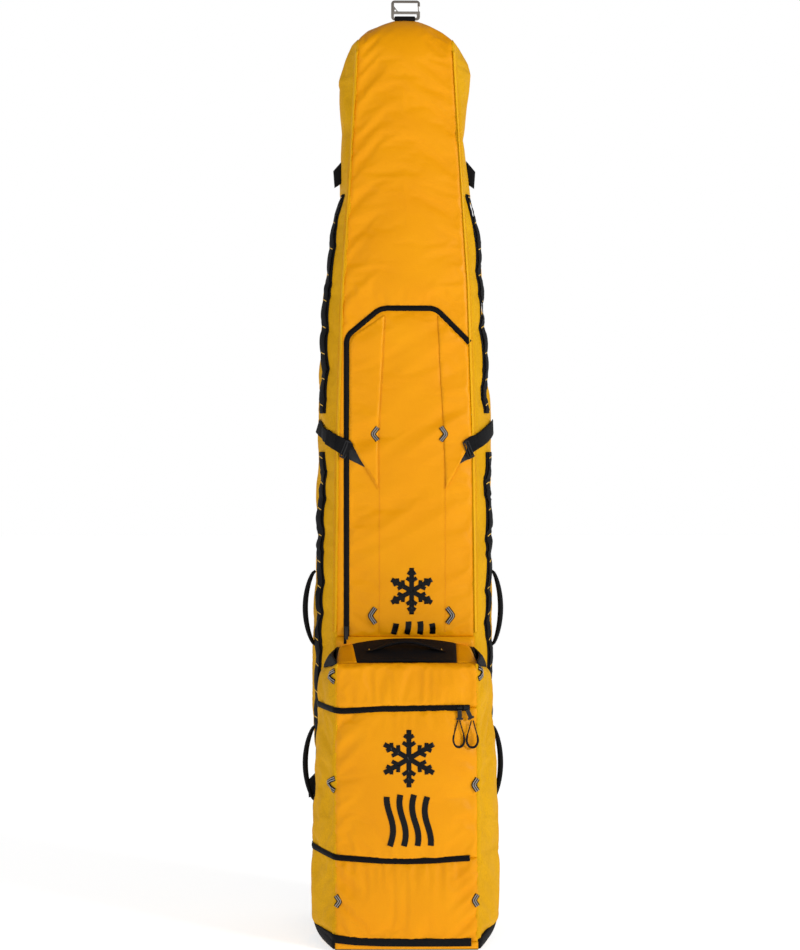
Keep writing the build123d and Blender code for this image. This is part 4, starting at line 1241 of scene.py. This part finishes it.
# ---- webbing -----------------------------------------------------------------------------------------------
# the daisy chain: metres back from the front seam, its highest tack, and the distance between two tacks
DAISY_PLACE, DAISY_TOP, TACK = 0.079, 1.4785, 0.0527
STRAP_Z = 0.9775  # the compression strap's height at the front seam


def on_side(sign, a, z):
    """Points on a side's cloth and the directions out of it, by metres round the section and height."""
    cloth = SIDE_CLOTH[sign]
    return cloth(sign * a, z), normals_of(cloth, sign * a, z)


def make_daisy():
    tacks, chains = [], []
    for sign in (1, -1):
        for low, high in ((0.108, 0.962), (1.040, 1.486)):
            z = np.arange(low, high + 0.0001, 0.0035)
            points, outs = on_side(sign, DAISY_PLACE + 0 * z, z)
            ends = np.minimum(z - low, high - z)
            chains.append(sweep(points, outs, 0.0255, 0.0050, -0.0024))
            phase = (z - DAISY_TOP) / TACK
            slack = np.abs(np.sin(np.pi * phase)) ** 0.8 * 0.0034
            slack = slack * (0.6 + 0.4 * FOLDS[1](z * 9, 0 * z + sign * 2))
            slack = np.where(ends < 0.004, 0, slack)
            chains.append(sweep(points, outs, 0.0215, 0.0014, 0.0031 + np.clip(slack, 0, None)))
            first = math.ceil((low + 0.004 - DAISY_TOP) / TACK)
            last = math.floor((high - 0.004 - DAISY_TOP) / TACK)
            for k in range(first, last + 1):
                at = DAISY_TOP + k * TACK
                across = np.linspace(-0.0098, 0.0098, 5)
                p, n = on_side(sign, DAISY_PLACE + across, at + across * 0.25)
                tacks.append(sweep(p, n, 0.0016, 0.0009, 0.0044))
    chain = finish_mesh("daisy_webbing", *merge(chains), WEBBING, "bag")
    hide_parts("daisy_chains")
    finish_mesh("daisy_tacks", *merge(tacks), THREAD, "bag", "yellow_ballistic")


def strap_route(sign, start_x):
    """The compression strap: from the lock, round the front seam and up over the side."""
    front_x = np.linspace(start_x, float(lookup(BODY, 0.97)) - 0.001, 5)
    z_front = STRAP_Z + (front_x - front_x[-1]) * 0.66
    points, outs = main_front(sign * front_x, z_front), normals_of(main_front, sign * front_x, z_front)
    a = np.linspace(0.004, 0.125, 20)
    more, more_outs = on_side(sign, a, STRAP_Z + 0.30 * a)
    return np.vstack([points, more]), np.vstack([outs, more_outs])


def make_straps():
    points, outs = strap_route(-1, 0.1125)
    high = 0.0033 + 0.0016 * np.clip(1 - np.arange(len(points)) / 8, 0, 1)
    left = finish_mesh("strap_left", *sweep(points, outs, 0.030, 0.0016, high), WEBBING, "bag")
    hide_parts("strap_webbing_left")
    points, outs = strap_route(1, 0.1235)
    right = finish_mesh("strap_right", *sweep(points, outs, 0.030, 0.0016, high), WEBBING, None)
    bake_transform(right)
    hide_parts("strap_webbing_right")


def make_tabs():
    """Side tabs: folded webbing sewn into the widest line."""
    tabs = ((1, 1.5275, 0.0155, "a"), (-1, 1.5285, 0.0165, "b"), (-1, 0.286, 0.0185, "c"))
    for sign, z, reach, name in tabs:
        (base, *_), _ = on_side(sign, np.array([0.105]), np.array([z]))
        x, y = abs(base[0]) - 0.003, base[1]
        outline = [(x, z + 0.028), (x + 0.6 * reach, z + 0.017), (x + reach + 0.003, z + 0.006),
                   (x + 0.85 * reach + 0.003, z - 0.028), (x, z - 0.017)]
        face = lambda a, b, y=y: join(a, y - 0.004, b)
        ring = [(sign * px, pz) for px, pz in outline]
        more = {"step": 0.004, "thick": 0.006, "sink": 0.001, "roll": 0.003}
        panel(f"side_tab_{name}", ring, face, WEBBING, "bag", **more)[0]
    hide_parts("side_tabs")


make_daisy()
make_straps()
make_tabs()

# ---- handles -----------------------------------------------------------------------------------------------
OVAL = [(0.5 * math.cos(i * math.pi / 8), 0.5 * math.sin(i * math.pi / 8)) for i in range(16)]


def make_side_handle(side, level, belly):
    name = f"handle_{side}_{level}"
    sign = 1 if side == "right" else -1
    low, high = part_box(name)
    z0, z1 = low.z - 0.004, high.z + 0.004
    y = (low.y + high.y) / 2
    t = np.linspace(0, 1, 40)
    z = z0 + (z1 - z0) * t
    bow = np.sin(np.pi * t) ** 0.62
    root = 0.1825 if sign < 0 else 0.1775
    x = sign * (root + belly * bow)
    points = join(x, y, z)
    outs = np.tile([0.0, -1.0, 0.0], (len(t), 1))
    flat = 1 - np.sin(np.pi * t) ** 0.5
    width = 0.0112 - 0.006 * flat
    deep = 0.0150 + 0.008 * flat
    verts, faces = sweep(points, outs, width, deep, section=OVAL)
    handle = finish_mesh(f"grip_{side}_{level}", verts, faces, WEBBING, name)
    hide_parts(name)


def make_gear_handle():
    t = np.linspace(0, 1, 60)
    x = -0.078 + 0.156 * t
    z = 0.5705 + 0.0175 * np.sin(np.pi * np.clip((t - 0.05) / 0.9, 0, 1)) ** 1.15
    points = join(x, -0.160, z)
    outs = np.tile([0.0, 0.0, 1.0], (len(t), 1))
    pad = np.sin(np.pi * np.clip((t - 0.08) / 0.84, 0, 1)) ** 0.5
    width = 0.0185 + 0.0025 * pad
    thick = 0.0022 + 0.0048 * pad
    verts, faces = sweep(points, outs, width, thick, section=OVAL)
    handle = finish_mesh("gear_grip", verts, faces, BLACK, "gear_handle")
    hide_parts("gear_handle")
    tacks = []
    for place in (-0.0725, 0.0695):
        points = np.array([(place, -0.1695 + 0.019 * s, 0.5728) for s in np.linspace(0, 1, 4)])
        tacks.append(sweep(points, np.tile([0.0, 0.0, 1.0], (4, 1)), 0.0016, 0.0008, 0.0))
    finish_mesh("gear_grip_tacks", *merge(tacks), THREAD, "gear_handle", "yellow_ballistic")


for side, belly in (("left", 0.0205), ("right", 0.0175)):
    for level in ("upper", "lower"):
        make_side_handle(side, level, belly)
make_gear_handle()


# ---- the top hook's webbing --------------------------------------------------------------------------------
def make_top_webbing():
    bar = 1.8472
    t = np.linspace(-0.15, math.pi + 0.15, 24)
    loop = [(4.9 * MM * math.cos(a), bar + 4.9 * MM * math.sin(a)) for a in t]
    line = [(0.0049, 1.834)] + loop + [(-0.0049, 1.834)]
    points = np.array([(0.0, y, z) for y, z in line])
    outs = np.gradient(points, axis=0)
    outs = np.stack([0 * outs[:, 0], outs[:, 2], -outs[:, 1]], -1)
    verts, faces = sweep(points, outs, 0.042, 0.0016, -0.0008)
    webbing = finish_mesh("hook_webbing", verts, faces, WEBBING, "bag")
    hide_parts("top_webbing")


make_top_webbing()


# ---- ski straps inside -------------------------------------------------------------------------------------
def make_ski_straps():
    parts = []
    for z in (0.400, 1.130):
        for a, b in ((-0.128, -0.016), (0.016, 0.128)):
            x = np.linspace(a, b, 12)
            points = join(x, 0.0736, z)
            parts.append(sweep(points, np.tile([0.0, -1.0, 0.0], (12, 1)), 0.030, 0.0016, -0.0016))
    straps = finish_mesh("inner_straps", *merge(parts), WEBBING, "bag")
    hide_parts("ski_straps")


make_ski_straps()


# ---- decoration: a plain snowflake over wavy ski tracks ----------------------------------------------------
def decoration(name, surface, body, x, z, size, low):
    lines = []
    for k in range(6):
        turn = k * math.pi / 3 + math.pi / 6
        d = (math.cos(turn), math.sin(turn))
        lines.append(([(x, z), (x + size * d[0], z + size * d[1])], 0.0095))
        for share, reach in ((0.42, 0.26), (0.70, 0.20)):
            root = (x + share * size * d[0], z + share * size * d[1])
            for side in (-1, 1):
                bend = turn + side * math.pi / 3.2
                tip = (root[0] + reach * size * math.cos(bend), root[1] + reach * size * math.sin(bend))
                lines.append(([root, tip], 0.0075))
    top = z - size - 0.012
    for k, offset in enumerate((-0.036, -0.012, 0.012, 0.036)):
        heights = np.linspace(low, top - 0.004 * abs(k - 1.5), 30)
        wave = [(x + offset + 0.006 * math.sin((h - low) * 52 + 0.4 * k), h) for h in heights]
        lines.append((wave, 0.0115))
    parts = [lay(surface, line, width, 0.0004, 0.0006, 0.003) for line, width in lines]
    return finish_mesh(name, *merge(parts), VINYL, body, "plastic_black")


decoration("door_print", GEAR_CLOTH["door"], "door", 0.004, 0.372, 0.054, 0.206)
decoration("flap_print", FLAP_TOP, "flap", 0.012, 0.684, 0.046, 0.598)


# ---- studio ------------------------------------------------------------------------------------------------
def make_studio():
    paper = Paint("studio_paper")
    noise = paper.add("TexNoise", Scale=3.0, Detail=3.0)
    paper.colour(noise.outputs[0], (0.86, 0.86, 0.86), (0.9, 0.9, 0.9))
    reach = 25.0
    mesh = bpy.data.meshes.new("studio_floor")
    corners = [(-reach, -reach, 0), (reach, -reach, 0), (reach, reach, 0), (-reach, reach, 0)]
    mesh.from_pydata(corners, [], [(0, 1, 2, 3)])
    mesh.polygons.foreach_set("use_smooth", [True])
    mesh.materials.append(paper.set(Roughness=0.9, Emission_Color=(1, 1, 1, 1), Emission_Strength=0.66))
    floor = show("studio_floor", mesh)

    world = bpy.data.worlds.new("studio")
    world.use_nodes = True
    tree = world.node_tree
    place, axes = tree.nodes.new("ShaderNodeTexCoord"), tree.nodes.new("ShaderNodeSeparateXYZ")
    level, glow = tree.nodes.new("ShaderNodeMath"), tree.nodes.new("ShaderNodeMapRange")
    level.operation = "ABSOLUTE"
    # bright round the horizon, dimmer overhead
    for socket, value in zip(glow.inputs[1:5], (0.26, 0.50, 1.0, 0.26)):
        socket.default_value = value
    tree.links.new(place.outputs["Generated"], axes.inputs[0])
    tree.links.new(axes.outputs[2], level.inputs[0])
    tree.links.new(level.outputs[0], glow.inputs[0])
    tree.links.new(glow.outputs[0], tree.nodes["Background"].inputs[1])
    tree.nodes["Background"].inputs[0].default_value = (1, 1, 1, 1)
    bpy.context.scene.world = world

    def area(name, place, aim, size, power):
        light = bpy.data.lights.new(name, "AREA")
        light.size = size
        light.energy = power
        lamp = show(name, light)
        lamp.location = place
        lamp.rotation_euler = (Vector(aim) - Vector(place)).to_track_quat("-Z", "Y").to_euler()

    area("key", (3.1, -2.5, 1.9), (0, 0, 0.95), 0.8, 66)
    area("fill", (-2.8, -3.0, 1.2), (0, 0, 0.9), 2.4, 6)


make_studio()
